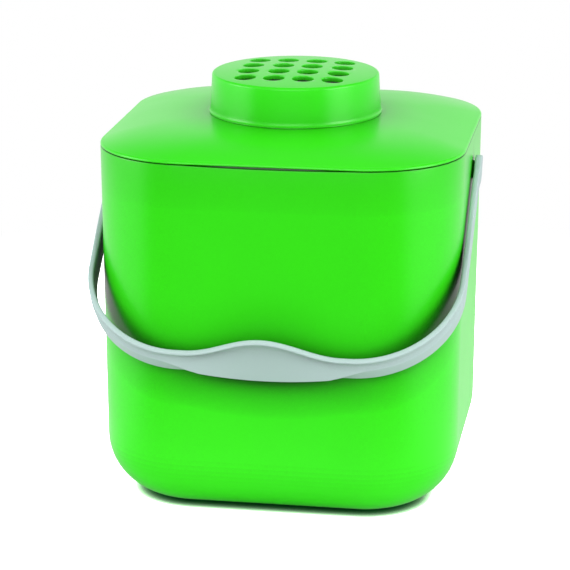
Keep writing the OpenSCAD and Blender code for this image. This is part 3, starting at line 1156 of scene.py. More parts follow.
@dataclass
class BinBody(SubAssembly):
    """The bin: a drafted tub with a footed base, handle pivots and hinge knuckles.

    Attributes:
        plan: The rim's plan.
        hinge: The hinge.
        rim_z: Height of the rim.
        draft: How far each side leans in from rim to floor.
        base_r: Radius where the walls sweep into the base.
        wall: Wall thickness.
        base_t: Base thickness.
        rim_r: Rounding of the rim's outer edge.
        lip_r: Rounding of the rim's inner edge.
        foot_w: Width of the foot ring.
        foot_disc_r: Radius of the disc in the middle of the base.
        foot_relief: Depth of the channel between them.
        lift_w: Width of the finger relief in the rim.
        lift_drop: Depth of that relief.
        pivot_z: Height of the handle's pivots.
        bore_r: Radius of a pivot's bore.
        boss_r: Radius of a pivot's outer boss.
        boss_out: How far a boss stands out past the rim's width.
        pad_r: Radius of the pad inside the wall.
        pad_in: How far that pad stands into the bin.
        web_drop: How far the hinge webs run down the back.
    """

    plan: RimPlan = RimPlan()
    hinge: Hinge = Hinge()
    rim_z: float = 214.3
    draft: float = 1.7
    base_r: float = 35.5
    wall: float = 2.8
    base_t: float = 3.2
    rim_r: float = 0.8
    lip_r: float = 0.5
    foot_w: float = 7.0
    foot_disc_r: float = 28.0
    foot_relief: float = 1.2
    lift_w: float = 98.0
    lift_drop: float = 0.85
    pivot_z: float = 193.0
    bore_r: float = 3.58
    boss_r: float = 5.4
    boss_out: float = 1.0
    pad_r: float = 8.0
    pad_in: float = 1.6
    web_drop: float = 17.0

    def lean(self, height: float) -> float:
        """Inset of the outer wall from the rim's plan at a height."""
        return self.draft * (1 - height / self.rim_z)

    def dipped(self, inset: float, height: float) -> list[Point]:
        """A ring near the rim that dips under the finger relief at the front.

        Args:
            inset: Inset of the ring.
            height: Its height where the rim is straight.

        Returns:
            The ring's points.
        """
        reach = self.lift_w / 2
        bend = (reach**2 + self.lift_drop**2) / (2 * self.lift_drop)
        points: list[Point] = []
        for x, y, z in self.plan.ring(inset, height):
            drop = 0.0
            if y < 0 and abs(x) < reach:
                drop = self.lift_drop - bend + math.sqrt(bend**2 - x**2)
            points.append((x, y, z - drop))
        return points

    def base_rings(self) -> list[list[Point]]:
        """Rings of the underside, from its middle disc out to the wall's sweep."""
        plan, relief, edge = self.plan, self.foot_relief, 0.35
        foot_in = self.lean(0) + self.base_r + self.foot_w
        return [
            plan.round_ring(self.foot_disc_r / 2, 0),
            plan.round_ring(self.foot_disc_r - edge, 0),
            plan.round_ring(self.foot_disc_r, edge),
            plan.round_ring(self.foot_disc_r, relief - edge),
            plan.round_ring(self.foot_disc_r + edge, relief),
            plan.ring(foot_in + edge, relief),
            plan.ring(foot_in, relief - edge),
            plan.ring(foot_in, edge),
            plan.ring(foot_in - edge, 0),
        ]

    def swept(self, radius: float, floor: float, inset: float, steps: int = 18) -> list[list[Point]]:
        """Rings of a sweep from the base up into the wall.

        Args:
            radius: Radius of the sweep.
            floor: Height at which it starts.
            inset: Inset of the wall that it runs into, beyond its lean.
            steps: Rings, less one.

        Returns:
            The rings, from the base up.
        """
        rings = []
        for sine, cosine in quarter(steps):
            height = floor + radius * (1 - cosine)
            drawn_in = self.lean(height) + inset + radius * (1 - sine)
            rings.append(self.plan.ring(drawn_in, height))
        return rings

    def rim_rings(self) -> list[list[Point]]:
        """Rings over the rim, from its outer rounding to its inner one."""
        middle, step = self.wall / 2, 0.1
        outer = [
            self.dipped(self.rim_r * (1 - cosine), self.rim_z - self.rim_r * (1 - sine))
            for sine, cosine in quarter(5)
        ]
        crest = [self.dipped(middle - step, self.rim_z), self.plan.ring(middle + step, self.rim_z)]
        lip = [(self.lip_r * (1 - sine), self.lip_r * (1 - cosine)) for sine, cosine in quarter(3)]
        inner = [self.plan.ring(self.wall - aside, self.rim_z - down) for aside, down in lip]
        return [*outer, *crest, *inner]

    def shell(self) -> Object:
        """The tub itself."""
        steps, floor = 12, self.base_t
        low, high = self.base_r, self.rim_z - self.rim_r
        outer = [low + (high - low) * k / steps for k in range(1, steps)]
        inner_r = self.base_r - self.wall
        inner_low, inner_high = floor + inner_r, self.rim_z - self.lip_r
        inner = [inner_high + (inner_low - inner_high) * k / steps for k in range(1, steps)]
        rings = [
            *self.base_rings(),
            *self.swept(self.base_r, 0, 0),
            *(self.plan.ring(self.lean(z), z) for z in outer),
            *self.rim_rings(),
            *(self.plan.ring(self.lean(z) + self.wall, z) for z in inner),
            *reversed(self.swept(inner_r, floor, self.wall)),
            *(self.plan.round_ring(radius, floor) for radius in (40, 20)),
        ]
        return loft("caddy_bin", rings)

    def pivots(self) -> tuple[list[Object], Object]:
        """The pivots' bosses with their inner pads, and the one cutter of both bores."""
        wall_x = self.plan.half_w - self.lean(self.pivot_z)
        pad_x = wall_x - self.wall - self.pad_in
        face_x = self.plan.half_w + self.boss_out
        root = wall_x - pad_x
        face = face_x - pad_x
        hidden = root - self.wall / 2
        fillet = ((1.2, hidden), (0.9, root - 0.05), (0.35, root + 0.15), (0.05, root + 0.6))
        profile = [
            (0.0, 0.0),
            *soft_corner(self.pad_r, 0.0, -1, 1),
            (self.pad_r, hidden),
            *((self.boss_r + out, height) for out, height in fillet),
            *reversed(soft_corner(self.boss_r, face, -1, -1)),
            (0.0, face),
        ]
        end = face_x + 2
        hole = [(0.0, -end), (self.bore_r, -end), (self.bore_r, end), (0.0, end)]
        here = along_x(pad_x, 0, self.pivot_z)
        bosses = [lathe("pivot_boss", profile, 64, place) for place in (here, across(here))]
        return bosses, lathe("pivot_bore", hole, 60, along_x(0, 0, self.pivot_z))

    def web(self) -> list[Flat]:
        """Outline of a knuckle with the web that carries it down the back wall."""
        hinge, back = self.hinge, self.plan.half_d
        centre = (hinge.axis_y, hinge.axis_z)
        return [
            (back - self.wall / 2, self.rim_z - self.web_drop),
            (back - self.wall / 2, self.rim_z - 1.4 * hinge.knuckle_r),
            (back + 1, self.rim_z - hinge.knuckle_r),
            *arc(centre, hinge.knuckle_r, 180, -30, 32),
            (back, self.rim_z - self.web_drop),
        ]

    def build(self) -> Object:
        """Build the bin and settle it on its body."""
        hinge = self.hinge
        obj = self.shell()
        bosses, bore = self.pivots()
        outer = (hinge.outer_x, hinge.outer_x + hinge.outer_w)
        spans = [(-hinge.centre_w / 2, hinge.centre_w / 2), outer, (-outer[1], -outer[0])]
        combine(obj, [*bosses, *hinge.knuckles(self.web(), spans)], Join.ADD)
        combine(obj, [bore, hinge.bore()], Join.CUT)
        smoothed(obj)
        return self.settle(obj, Body.BIN, Slot.GREEN, "bin_body")


@dataclass
class Lid(SubAssembly):
    """The hinged lid: skirt, rounded edge, dome, and the seat and collar of the vent cap.

    Attributes:
        plan: The rim's plan.
        hinge: The hinge.
        rim_z: Height of the bin's rim.
        seam: Gap between flange and rim.
        edge: Height of the lid's edge above the rim.
        edge_r: Rounding of the upper edge.
        low_r: Rounding of the lower edge.
        rise: Rise of the dome.
        power: How flat the dome stays before it rolls off.
        thick: Thickness of the lid.
        skirt_h: Depth of the skirt.
        skirt_t: Thickness of the skirt.
        skirt_inset: Inset of the skirt's outer face.
        seat_h: Height of the cap's seat above the crown.
        seat_r: Radius of that seat.
        collar_r: Outer radius of the collar.
        well_r: Inner radius of the collar.
        collar_h: Height of the collar.
        grille_r: Radius of a grille hole.
        grille_pitch: Distance between the grille's rings.
        grille_rings: Rings of holes, the middle one included.
        web_t: Thickness of a knuckle's web.
        stop_angle: Angle at which the heels meet the back wall.
        stop_gap: Gap there.
        heel_h: Height of a heel's face.
    """

    plan: RimPlan = RimPlan()
    hinge: Hinge = Hinge()
    rim_z: float = 214.3
    seam: float = 0.3
    edge: float = 2.3
    edge_r: float = 1.5
    low_r: float = 0.4
    rise: float = 8.9
    power: float = 4.2
    thick: float = 2.3
    skirt_h: float = 9.0
    skirt_t: float = 2.0
    skirt_inset: float = 3.3
    seat_h: float = 0.4
    seat_r: float = 51.7
    collar_r: float = 48.1
    well_r: float = 46.1
    collar_h: float = 14.0
    grille_r: float = 4.5
    grille_pitch: float = 12.0
    grille_rings: int = 3
    web_t: float = 3.0
    stop_angle: float = 105.0
    stop_gap: float = 0.3
    heel_h: float = 4.5

    @property
    def seat_z(self) -> float:
        """Height of the cap's seat."""
        return self.rim_z + self.edge + self.rise + self.seat_h

    def dome_z(self, share: float) -> float:
        """Height of the dome at a share of the way from the crown to the edge."""
        return self.rim_z + self.edge + self.rise * (1 - share**self.power)

    def domed(
        self, inset: float, inner_r: float, steps: int, height: Callable[[float], float]
    ) -> list[list[Point]]:
        """Rings that pass from the plan at an inset to a circle, over the dome.

        Args:
            inset: Inset of the first ring.
            inner_r: Radius of the last ring.
            steps: Rings, less one.
            height: Height for each share of the way from the middle to the first ring.

        Returns:
            The rings, from the edge inwards.
        """
        outline = self.plan.outline(inset)
        rings = []
        for k in range(steps + 1):
            t = (k / steps) ** 1.35
            ring: list[Point] = []
            for x, y in outline:
                far = math.hypot(x, y)
                share = 1 - t + t * inner_r / far
                ring.append((x * share, y * share, height(share)))
            rings.append(ring)
        return rings

    def shell(self) -> Object:
        """The lid's moulding, without its knuckles and grille."""
        plan, rim, seat = self.plan, self.rim_z, self.seat_z
        hollow = self.skirt_inset + self.skirt_t
        hollow_share = (plan.half_w - hollow) / (plan.half_w - self.edge_r)
        flat = 0.44

        def underside(share: float) -> float:
            """Height of the hollow's roof, which is flat in the middle."""
            return self.dome_z(max(share, flat) * hollow_share) - self.thick

        rings = [plan.round_ring(radius, underside(0)) for radius in (15, 28)]
        rings += reversed(self.domed(hollow, 40, 20, underside))
        foot, outer, seam = rim - self.skirt_h, self.skirt_inset, rim + self.seam
        skirt = [
            (hollow, rim),
            (hollow, foot + 0.3),
            (hollow - 0.2, foot + 0.06),
            (hollow - 0.5, foot),
            (outer + 0.5, foot),
            (outer + 0.12, foot + 0.4),
            (outer, foot + 1),
            (outer, seam - 0.3),
            (outer - 0.3, seam),
        ]
        upper = rim + self.edge - self.edge_r
        for sine, cosine in quarter(5):
            skirt.append((self.low_r * (1 - sine), seam + self.low_r * (1 - cosine)))
        for sine, cosine in quarter(5):
            skirt.append((self.edge_r * (1 - cosine), upper + self.edge_r * sine))
        rings += [plan.ring(inset, height) for inset, height in skirt]
        rings += self.domed(self.edge_r, self.seat_r + 0.5, 30, self.dome_z)[1:]
        ease = 0.12
        rings.append([(x, y, min(z + ease, seat)) for x, y, z in self.seat_foot(self.seat_r + ease)])
        top = seat + self.collar_h
        turned = [
            *reversed(soft_corner(self.seat_r, seat, -1, -1, 0.2)),
            (self.collar_r + 0.4, seat),
            (self.collar_r + 0.1, seat + 0.1),
            (self.collar_r, seat + 0.4),
            *reversed(soft_corner(self.collar_r, top, -1, -1)),
            *soft_corner(self.well_r, top, 1, -1),
            (self.well_r, seat + 0.4),
            (self.well_r - 0.4, seat),
            *((radius, seat) for radius in (38, 28, 15)),
        ]
        rings += [plan.round_ring(radius, height) for radius, height in turned]
        return loft("caddy_lid", rings)

    def seat_foot(self, radius: float) -> list[Point]:
        """The circle in which the seat's side meets the dome."""
        rim = self.plan.outline(self.edge_r)
        circle_points = self.plan.round_ring(radius, 0)
        return [
            (x, y, self.dome_z(radius / math.hypot(*edge)))
            for (x, y, _), edge in zip(circle_points, rim)
        ]

    def knuckle_outline(self) -> list[Flat]:
        """Outline of a lid knuckle, its web over the rim and its heel below."""
        hinge = self.hinge
        centre = Vector((hinge.axis_y, hinge.axis_z))
        radius = hinge.knuckle_r
        reach = hinge.axis_y - self.plan.half_d - self.stop_gap
        turn = Matrix.Rotation(math.radians(self.stop_angle), 2)
        toe, heel, top = (
            turn @ Vector(corner)
            for corner in ((-reach, 0), (-reach, -self.heel_h), (0, 0.2 - radius))
        )
        web_low = self.seam + 0.5
        root = self.plan.half_d - self.skirt_inset - 0.3
        in_angle = 180 - math.degrees(math.asin(web_low / radius))
        toe_angle = math.degrees(math.atan2(toe.y, toe.x)) % 360
        top_angle = math.degrees(math.atan2(top.y, top.x)) + 360
        return [
            (root, self.rim_z + web_low),
            *arc(centre[:], radius, in_angle, toe_angle, 18),
            (centre + toe)[:],
            (centre + heel)[:],
            *arc(centre[:], radius, top_angle, 450, 14),
            (root, self.rim_z + self.seam + self.web_t),
        ]

    def build(self) -> Object:
        """Build the lid and settle it on its body."""
        obj = self.shell()
        depth, above = -8.0, 1.0
        side = ((0.0, depth), (0.0, -0.4), (0.1, -0.1), (0.4, 0.02), (0.6, above))
        wall = [(self.grille_r + out, height) for out, height in side]
        cutter = lathe("grille_cutter", [(0.0, depth), *wall, (0.0, above)], 40)
        values = {
            "Cutter": cutter,
            "Pitch": self.grille_pitch * MM,
            "Height": self.seat_z * MM,
            "Finish": self.finish,
        }
        through_tree(obj, ring_grille_tree(self.grille_rings), values)
        bpy.data.objects.remove(cutter)
        hinge = self.hinge
        span = (hinge.lid_x, hinge.lid_x + hinge.knuckle_w)
        knuckles = hinge.knuckles(self.knuckle_outline(), [span, (-span[1], -span[0])])
        combine(obj, knuckles, Join.ADD)
        combine(obj, [hinge.bore()], Join.CUT)
        smoothed(obj)
        return self.settle(obj, Body.LID, Slot.GREEN, "lid")


@dataclass
class VentCap(SubAssembly):
    """The round cap over the filter, with its square grid of vents.

    Attributes:
        foot_z: Height of the seat that it stands on.
        top_r: Radius at its top edge.
        draft: How much wider it is at its foot.
        height: Height of its top edge above the seat.
        crown: Rise of its top.
        edge_r: Rounding of its top edge.
        wall: Wall thickness.
        lip_out: How far its foot flares out.
        lip_t: Thickness of the flared lip.
        lip_sweep: Height of the sweep into the lip.
        drip: How far the lip's outer edge hangs below the seat.
        holes: Vents along each side of the grid.
        hole_r: Radius of a vent.
        pitch: Distance between vents.
        bow: Push of the outer rows' middle vents.
        hole_soft: Softening of a vent's upper edge.
    """

    foot_z: float = 225.9
    top_r: float = 50.3
    draft: float = 1.0
    height: float = 23.2
    crown: float = 1.8
    edge_r: float = 1.6
    wall: float = 2.4
    lip_out: float = 0.8
    lip_t: float = 0.5
    lip_sweep: float = 3.0
    drip: float = 0.5
    holes: int = 4
    hole_r: float = 6.4
    pitch: float = 17.4
    bow: float = 1.1
    hole_soft: float = 0.45

    def profile(self) -> list[Flat]:
        """Radius and height of the cap's wall, from the middle inside to the middle outside."""
        foot_r = self.top_r + self.draft
        crown_r = self.top_r - self.edge_r
        inner_r = foot_r - self.wall

        def crowned(radius: float) -> float:
            """Rise of the crown at a radius."""
            return self.crown * (1 - (radius / crown_r) ** 2)

        steps = 12
        roof = [crown_r * k / steps for k in range(steps)]
        corner, inner_top = self.height - self.wall, inner_r - self.draft / 2
        under = [(r, corner + crowned(r)) for r in roof]
        inside = [(inner_top - 0.8, corner + 0.05), (inner_top, corner - 0.9)]
        lip_r = foot_r + self.lip_out
        foot = [
            (inner_r, 0.3),
            (inner_r + 0.3, 0.0),
            (lip_r - 0.36, 0.0),
            (lip_r - 0.34, -self.drip),
            (lip_r - 0.15, -self.drip),
            (lip_r, 0.15 - self.drip),
            (lip_r, self.lip_t - 0.25),
            (lip_r - 0.2, self.lip_t),
        ]
        sweep = [
            (foot_r + self.lip_out * (1 - sine), self.lip_t + self.lip_sweep * (1 - cosine))
            for sine, cosine in quarter(10)[1:]
        ]
        low, high = self.lip_t + self.lip_sweep, self.height - self.edge_r
        wall = [
            (foot_r + (self.top_r - foot_r) * k / 5, low + (high - low) * k / 5) for k in range(1, 5)
        ]
        edge = arc((crown_r, high), self.edge_r, 0, 90, 8)
        top = [(r, self.height + crowned(r)) for r in reversed(roof)]
        return [*under, *inside, *foot, *sweep, *wall, *edge, *top]

    def vent_cutter(self) -> Object:
        """The cutter of one vent, with its origin on the crown."""
        soft, radius = self.hole_soft, self.hole_r
        depth, above, flare = -7.0, 1.5, 0.3
        lip = [(radius + soft * (1 - cosine), soft * (sine - 1)) for sine, cosine in quarter(5)]
        wall = [(radius, depth), *lip, (radius + soft + flare, above)]
        return lathe("vent_cutter", [(0.0, depth), *wall, (0.0, above)], 64)

    def build(self) -> Object:
        """Build the cap and settle it on its body."""
        obj = lathe("filter_cap", self.profile(), 160, Matrix.Translation((0, 0, self.foot_z)))
        cutter = self.vent_cutter()
        values = {
            "Cutter": cutter,
            "Holes A Side": self.holes,
            "Pitch": self.pitch * MM,
            "Bow": self.bow * MM,
            "Crown Rise": self.crown * MM,
            "Crown Radius": (self.top_r - self.edge_r) * MM,
            "Top": (self.foot_z + self.height) * MM,
            "Finish": self.finish,
        }
        through_tree(obj, vent_grid_tree(), values)
        bpy.data.objects.remove(cutter)
        smoothed(obj)
        return self.settle(obj, Body.CAP, Slot.GREEN, "vent_cap")


@dataclass
class FilterPad(SubAssembly):
    """The foam disc that holds the charcoal.

    Attributes:
        seat_z: Height of the floor that it lies on.
        radius: Its radius.
        thick: Its thickness.
        edge_r: Rounding of its cut edges.
        waist: How far the cut edge draws in between its roundings.
        pucker: How far the foam's faces draw in.
        lumps: Scale per metre, and share, of each layer of unevenness in that.
        even: The even share of it.
        sharp: The angle in degrees over which an edge stays sharp.
    """

    seat_z: float = 225.9
    radius: float = 45.7
    thick: float = 12.0
    edge_r: float = 1.6
    waist: float = 0.2
    pucker: float = 0.35
    lumps: tuple[Flat, ...] = ((90, 0.5), (420, 0.3))
    even: float = 0.7
    sharp: float = 60

    def build(self) -> Object:
        """Build the pad and settle it on the lid."""
        flat, edge = self.radius - self.edge_r, self.edge_r
        low = arc((flat, edge), edge, -90, 0, 6)
        high = arc((flat, self.thick - edge), edge, 0, 90, 6)
        steps = 22
        spread = [flat * k / steps for k in range(steps)]
        side = [edge + (self.thick - 2 * edge) * k / 5 for k in range(1, 5)]
        wall = [(self.radius - self.waist, height) for height in side]
        profile = [(r, 0.0) for r in spread] + low + wall + high
        profile += [(r, self.thick) for r in reversed(spread)]
        obj = lathe("foam_filter", profile, 144, Matrix.Translation((0, 0, self.seat_z)))
        middle = Vector((0, 0, (self.seat_z + self.thick / 2) * MM))
        for vertex in obj.data.vertices:
            lumps = sum(noise.noise(vertex.co * scale) * share for scale, share in self.lumps)
            inward = (middle - vertex.co).normalized()
            vertex.co += inward * abs(lumps + self.even) * self.pucker * MM
        smoothed(obj, self.sharp)
        self.settle(obj, Body.LID, Slot.FOAM, "carbon_filter")
        return obj


@dataclass
class HingePin(SubAssembly):
    """The steel pin, whose CAD node is shown as it is."""

    def build(self) -> Object:
        """Give the pin's own node its finish."""
        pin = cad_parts["hinge_pin"]
        pin.data.materials.clear()
        pin.data.materials.append(self.finish)
        LOG.info("%s keeps its CAD shape", pin.name)
        return pin


@dataclass
class BailHandle(SubAssembly):
    """The swinging bail: two arms with round eyes and pegs, and a bar that swells into a grip.

    It is drawn level and then hung: x is its width, v its reach from the pivots and n the width
    of its strap.

    Attributes:
        pivot_z: Height of the pivots.
        eye_x: X of the eyes' inner faces.
        reach: Reach of the bar's inner face.
        bend_r: Radius of the two bends.
        lean: How far the arms draw in from eyes to bends.
        strap_w: Width of the strap.
        bar_t: Thickness of the bar.
        arm_t: Thickness of the arms.
        eye_r: Radius of the eyes.
        eye_t: Thickness of the eyes.
        eye_fade: Where that thickness begins to run out from the pivot, and over what length.
        plain_fade: Where rim and cove begin to set in from the pivot, and over what length.
        grip_half: Half the grip's length.
        grip_rise: How far the grip widens upwards.
        grip_drop: How far it widens downwards.
        drop_share: Share of half the grip's length over which it does so.
        flare: How far the lower lip stands out.
        lip_start: Share of half the grip at which the lip begins to run out.
        lip_run: Length over which the lip runs out.
        bead_w: Width of the raised rim along the upper edge.
        rim_set: Share of the bar's extra thickness by which that rim is set back.
        cove_d: Depth of the cove below that rim.
        cove_w: Width of the cove.
        cove_run: Share of its depth that runs on along the strap.
        peg_r: Radius of the pegs.
        pad_x: X of the pads inside the bin's walls.
        barb_out: How far a barb stands out.
        barb_l: Length of a barb.
        slot_w: Width of the slot across a peg.
        slot_past: How far that slot runs past the barb.
        gap: Gap between the eyes and the bosses, and past the pads.
        wall_y: Distance of the front wall at the floor from the middle.
        slope: Slope of the front wall.
        rest_gap: Gap between the grip and the wall.
    """

    pivot_z: float = 193.0
    eye_x: float = 109.3
    reach: float = 145.0
    bend_r: float = 58.0
    lean: float = 0.8
    strap_w: float = 15.2
    bar_t: float = 4.6
    arm_t: float = 3.4
    eye_r: float = 8.6
    eye_t: float = 4.0
    eye_fade: Flat = (2.0, 9.0)
    plain_fade: Flat = (12.0, 14.0)
    grip_half: float = 46.0
    grip_rise: float = 14.4
    grip_drop: float = 5.0
    drop_share: float = 0.9
    flare: float = 2.2
    lip_start: float = 0.8
    lip_run: float = 26.0
    bead_w: float = 1.4
    rim_set: float = 0.9
    cove_d: float = 2.6
    cove_w: float = 9.0
    cove_run: float = 0.12
    peg_r: float = 3.5
    pad_x: float = 103.431
    barb_out: float = 0.8
    barb_l: float = 4.0
    slot_w: float = 1.4
    slot_past: float = 4.4
    gap: float = 0.3
    wall_y: float = 104.3
    slope: float = 1.7 / 214.3
    rest_gap: float = 0.35

    @property
    def hang(self) -> float:
        """The angle in radians at which the grip's lower edge rests at the front wall."""
        low_edge = self.strap_w / 2 + self.grip_drop
        rest_y = self.wall_y + self.slope * self.pivot_z + self.rest_gap
        along = self.reach + self.slope * low_edge
        beside = self.slope * self.reach - low_edge
        return math.atan2(beside, along) + math.acos(rest_y / math.hypot(along, beside))

    @staticmethod
    def fade(s: float, start: float, run: float) -> float:
        """A share that eases from 1 to 0 over a run along the strap."""
        t = min(max((s - start) / run, 0.0), 1.0)
        return 1 - t * t * (3 - 2 * t)

    def half_stations(self) -> list[tuple[float, float, float, float, float]]:
        """Stations from the middle of the bar to the eye: x, v, outward x and v, and path length."""
        arm_x = self.eye_x - self.lean
        bend_x, bend_v = arm_x - self.bend_r, self.reach - self.bend_r
        bar_steps, bend_steps, arm_steps, neck_v = 44, 36, 24, 10
        along = [bend_x * k / bar_steps for k in range(bar_steps)]
        stations = [(x, self.reach, 0.0, 1.0, x) for x in along]
        for k, (out_x, out_v) in enumerate(quarter(bend_steps)):
            x, v = bend_x + self.bend_r * out_x, bend_v + self.bend_r * out_v
            turned = self.bend_r * (math.pi / 2 * k / bend_steps)
            stations.append((x, v, out_x, out_v, bend_x + turned))
        start = bend_x + self.bend_r * math.pi / 2
        reaches = [bend_v + (neck_v - bend_v) * k / arm_steps for k in range(1, arm_steps + 1)]
        reaches += [8.5, 7, 5.5, 4.2, 3]
        reaches += [self.eye_r * math.cos(math.radians(a)) for a in range(75, 180, 5)]
        for v in reaches:
            out = self.lean * min(1.0, 1 - v / bend_v)
            stations.append((arm_x + out, v, 1.0, 0.0, start + bend_v - v))
        return stations

    def half_width(self, v: float) -> float:
        """Half the strap's width over the round eye, by the reach from the pivot."""
        plain, start, end, least = self.strap_w / 2, 3.0, 9.0, 0.01
        if v >= end:
            return plain
        if v <= start:
            return math.sqrt(max(self.eye_r**2 - v**2, least))
        here = math.sqrt(self.eye_r**2 - start**2)
        t, run = (v - start) / (end - start), end - start
        rise = (2 * t**3 - 3 * t**2 + 1) * here + (3 * t**2 - 2 * t**3) * plain
        return rise + (t**3 - 2 * t**2 + t) * run * (-start / here)

    def section(self, s: float, v: float, thick: float) -> list[Flat]:
        """The strap's section at one station.

        Args:
            s: Path length from the middle of the bar.
            v: Reach from the pivot.
            thick: Thickness of the strap there.

        Returns:
            The section's points, each as its place across the strap and outwards.
        """
        half, high, low = self.grip_half, self.strap_w / 2, -self.strap_w / 2
        drop_half = self.drop_share * half
        if s < half:
            high += self.grip_rise * math.cos(math.pi / 2 * s / half) ** 2
        if s < drop_half:
            low -= self.grip_drop * (1 - (s / drop_half) ** 2)
        lip_share = self.fade(s, self.lip_start * half, self.lip_run)
        lip = low + 0.35 + (1 - lip_share) * self.strap_w * 0.5
        flare = self.flare * lip_share
        rim = thick - self.rim_set * (thick - self.arm_t if v > sum(self.eye_fade) else 0.0)
        share = self.cove_run + (1 - self.cove_run) * self.fade(s, half / 2, half * 0.8)
        cove = self.cove_d * share * (1 - self.fade(v, *self.plain_fade))
        bead = high - self.bead_w
        cove_n = bead - self.cove_w * (0.35 + 0.65 * self.fade(s, 0, half))
        corners_and_radii = [
            ((high, rim), 2.8),
            ((bead, rim), 0.4),
            ((bead - 0.5, rim - cove * 0.45), 0.5),
            ((bead - 0.35 * (bead - cove_n), rim - cove * 0.85), 3.0),
            ((cove_n, rim - cove), 7.0),
            ((lip + 0.5, thick + flare), 0.8),
            ((lip - 0.1, thick + flare * 0.25), 0.4),
            ((low, thick - 0.5), 0.5),
            ((low, 0.0), 1.0),
            ((high, 0.0), 1.4),
        ]
        corners, radii = zip(*corners_and_radii)
        stretch = 2 * self.half_width(v) / self.strap_w
        return [(n * stretch, out) for n, out in softened(corners, radii, 5)]

    def strap(self) -> Object:
        """The strap from eye to eye."""
        stations = self.half_stations()
        rings = []
        for side, half in ((-1, stations[::-1]), (1, stations[1:])):
            for x, v, out_x, out_v, s in half:
                thick = self.arm_t + (self.bar_t - self.arm_t) * out_v
                thick += (self.eye_t - self.arm_t) * self.fade(v, *self.eye_fade)
                section = self.section(s, v, thick)
                rings.append(
                    [(side * (x + out_x * out), -(v + out_v * out), n) for n, out in section]
                )
        return loft("carry_handle", rings)

    def pegs(self) -> list[Object]:
        """The barbed pegs, each with the spring slot across it."""
        barb_x = self.pad_x - self.gap
        tip, wide = self.peg_r - self.barb_out / 2, self.peg_r + self.barb_out
        length = self.eye_x + self.eye_t / 2 - barb_x + self.barb_l
        ease = 0.4
        profile = [
            (0.0, 0.0),
            (tip - ease, 0.0),
            (tip, ease),
            (wide, self.barb_l - ease),
            (wide, self.barb_l),
            (self.peg_r, self.barb_l),
            (self.peg_r, length),
            (0.0, length),
        ]
        here = along_x(barb_x - self.barb_l, 0, 0)
        pegs = [lathe("peg", profile, 56, place) for place in (here, across(here))]
        depth = self.barb_l + self.slot_past
        half, tall, clear = self.slot_w / 2, 9.0, 1
        outline = [(-half, -tall), (half, -tall), (half, tall), (-half, tall)]
        start = barb_x - self.barb_l - clear
        spans = [(start, start + depth + clear), (-start - depth - clear, -start)]
        for peg, (low, high) in zip(pegs, spans):
            combine(peg, [bar_section(outline, low, high, 0.1, "peg_slot")], Join.CUT)
        return pegs

    def build(self) -> Object:
        """Build the bail, hang it and settle it on its body."""
        obj = self.strap()
        combine(obj, self.pegs(), Join.ADD)
        hung = Matrix.Translation((0, 0, self.pivot_z * MM)) @ Matrix.Rotation(self.hang, 4, "X")
        obj.data.transform(hung)
        smoothed(obj)
        return self.settle(obj, Body.HANDLE, Slot.GREY, "bail_handle")


# STUDIO


@dataclass(frozen=True)
class LightPanel:
    """A soft rectangular lamp that faces a point.

    Attributes:
        name: The lamp's name.
        place: Where it stands, in metres.
        width: Its width in metres.
        height: Its height in metres.
        power: Its power in watts.
        facing: The point that it faces.
    """

    name: str
    place: Point
    width: float
    height: float
    power: float
    facing: Point = (0.0, 0.0, 0.12)

    def build(self) -> None:
        """Build the lamp."""
        lamp = bpy.data.lights.new(self.name, "AREA")
        lamp.shape = "RECTANGLE"
        lamp.size, lamp.size_y = self.width, self.height
        lamp.energy = self.power
        obj = bpy.data.objects.new(self.name, lamp)
        obj.location = self.place
        aim = Vector(self.facing) - Vector(self.place)
        obj.rotation_euler = aim.to_track_quat("-Z", "Y").to_euler()
        bpy.context.scene.collection.objects.link(obj)


@dataclass(frozen=True)
class Camera:
    """The camera at the photograph's viewing angle.

    Attributes:
        azimuth: Its bearing from the front, towards +X, in degrees.
        elevation: Its height angle in degrees.
        distance: Its distance from the point that it looks at, in metres.
        aim: That point, in metres.
        slide: How far camera and point are slid to the camera's right, in metres.
        lens: Its focal length in millimetres.
        sensor: The width of its sensor in millimetres.
        sight: The nearest and the farthest distance that it sees, in metres.
    """

    azimuth: float = 9.45
    elevation: float = 16.27
    distance: float = 1.54302
    aim: Point = (0.0, 0.0, 0.11526)
    slide: float = -0.00642
    lens: float = 158.17
    sensor: float = 36.0
    sight: Flat = (0.05, 50)

    def build(self) -> None:
        """Build the camera and make it the scene's own."""
        bearing, height = math.radians(self.azimuth), math.radians(self.elevation)
        level = math.cos(height)
        back = Vector((level * math.sin(bearing), -level * math.cos(bearing), math.sin(height)))
        right = Vector((math.cos(bearing), math.sin(bearing), 0))
        data = bpy.data.cameras.new("studio_camera")
        data.lens, data.sensor_width, data.sensor_fit = self.lens, self.sensor, "HORIZONTAL"
        data.clip_start, data.clip_end = self.sight
        obj = bpy.data.objects.new("studio_camera", data)
        obj.location = Vector(self.aim) + back * self.distance + right * self.slide
        obj.rotation_euler = (-back).to_track_quat("-Z", "Y").to_euler()
        bpy.context.scene.collection.objects.link(obj)
        bpy.context.scene.camera = obj


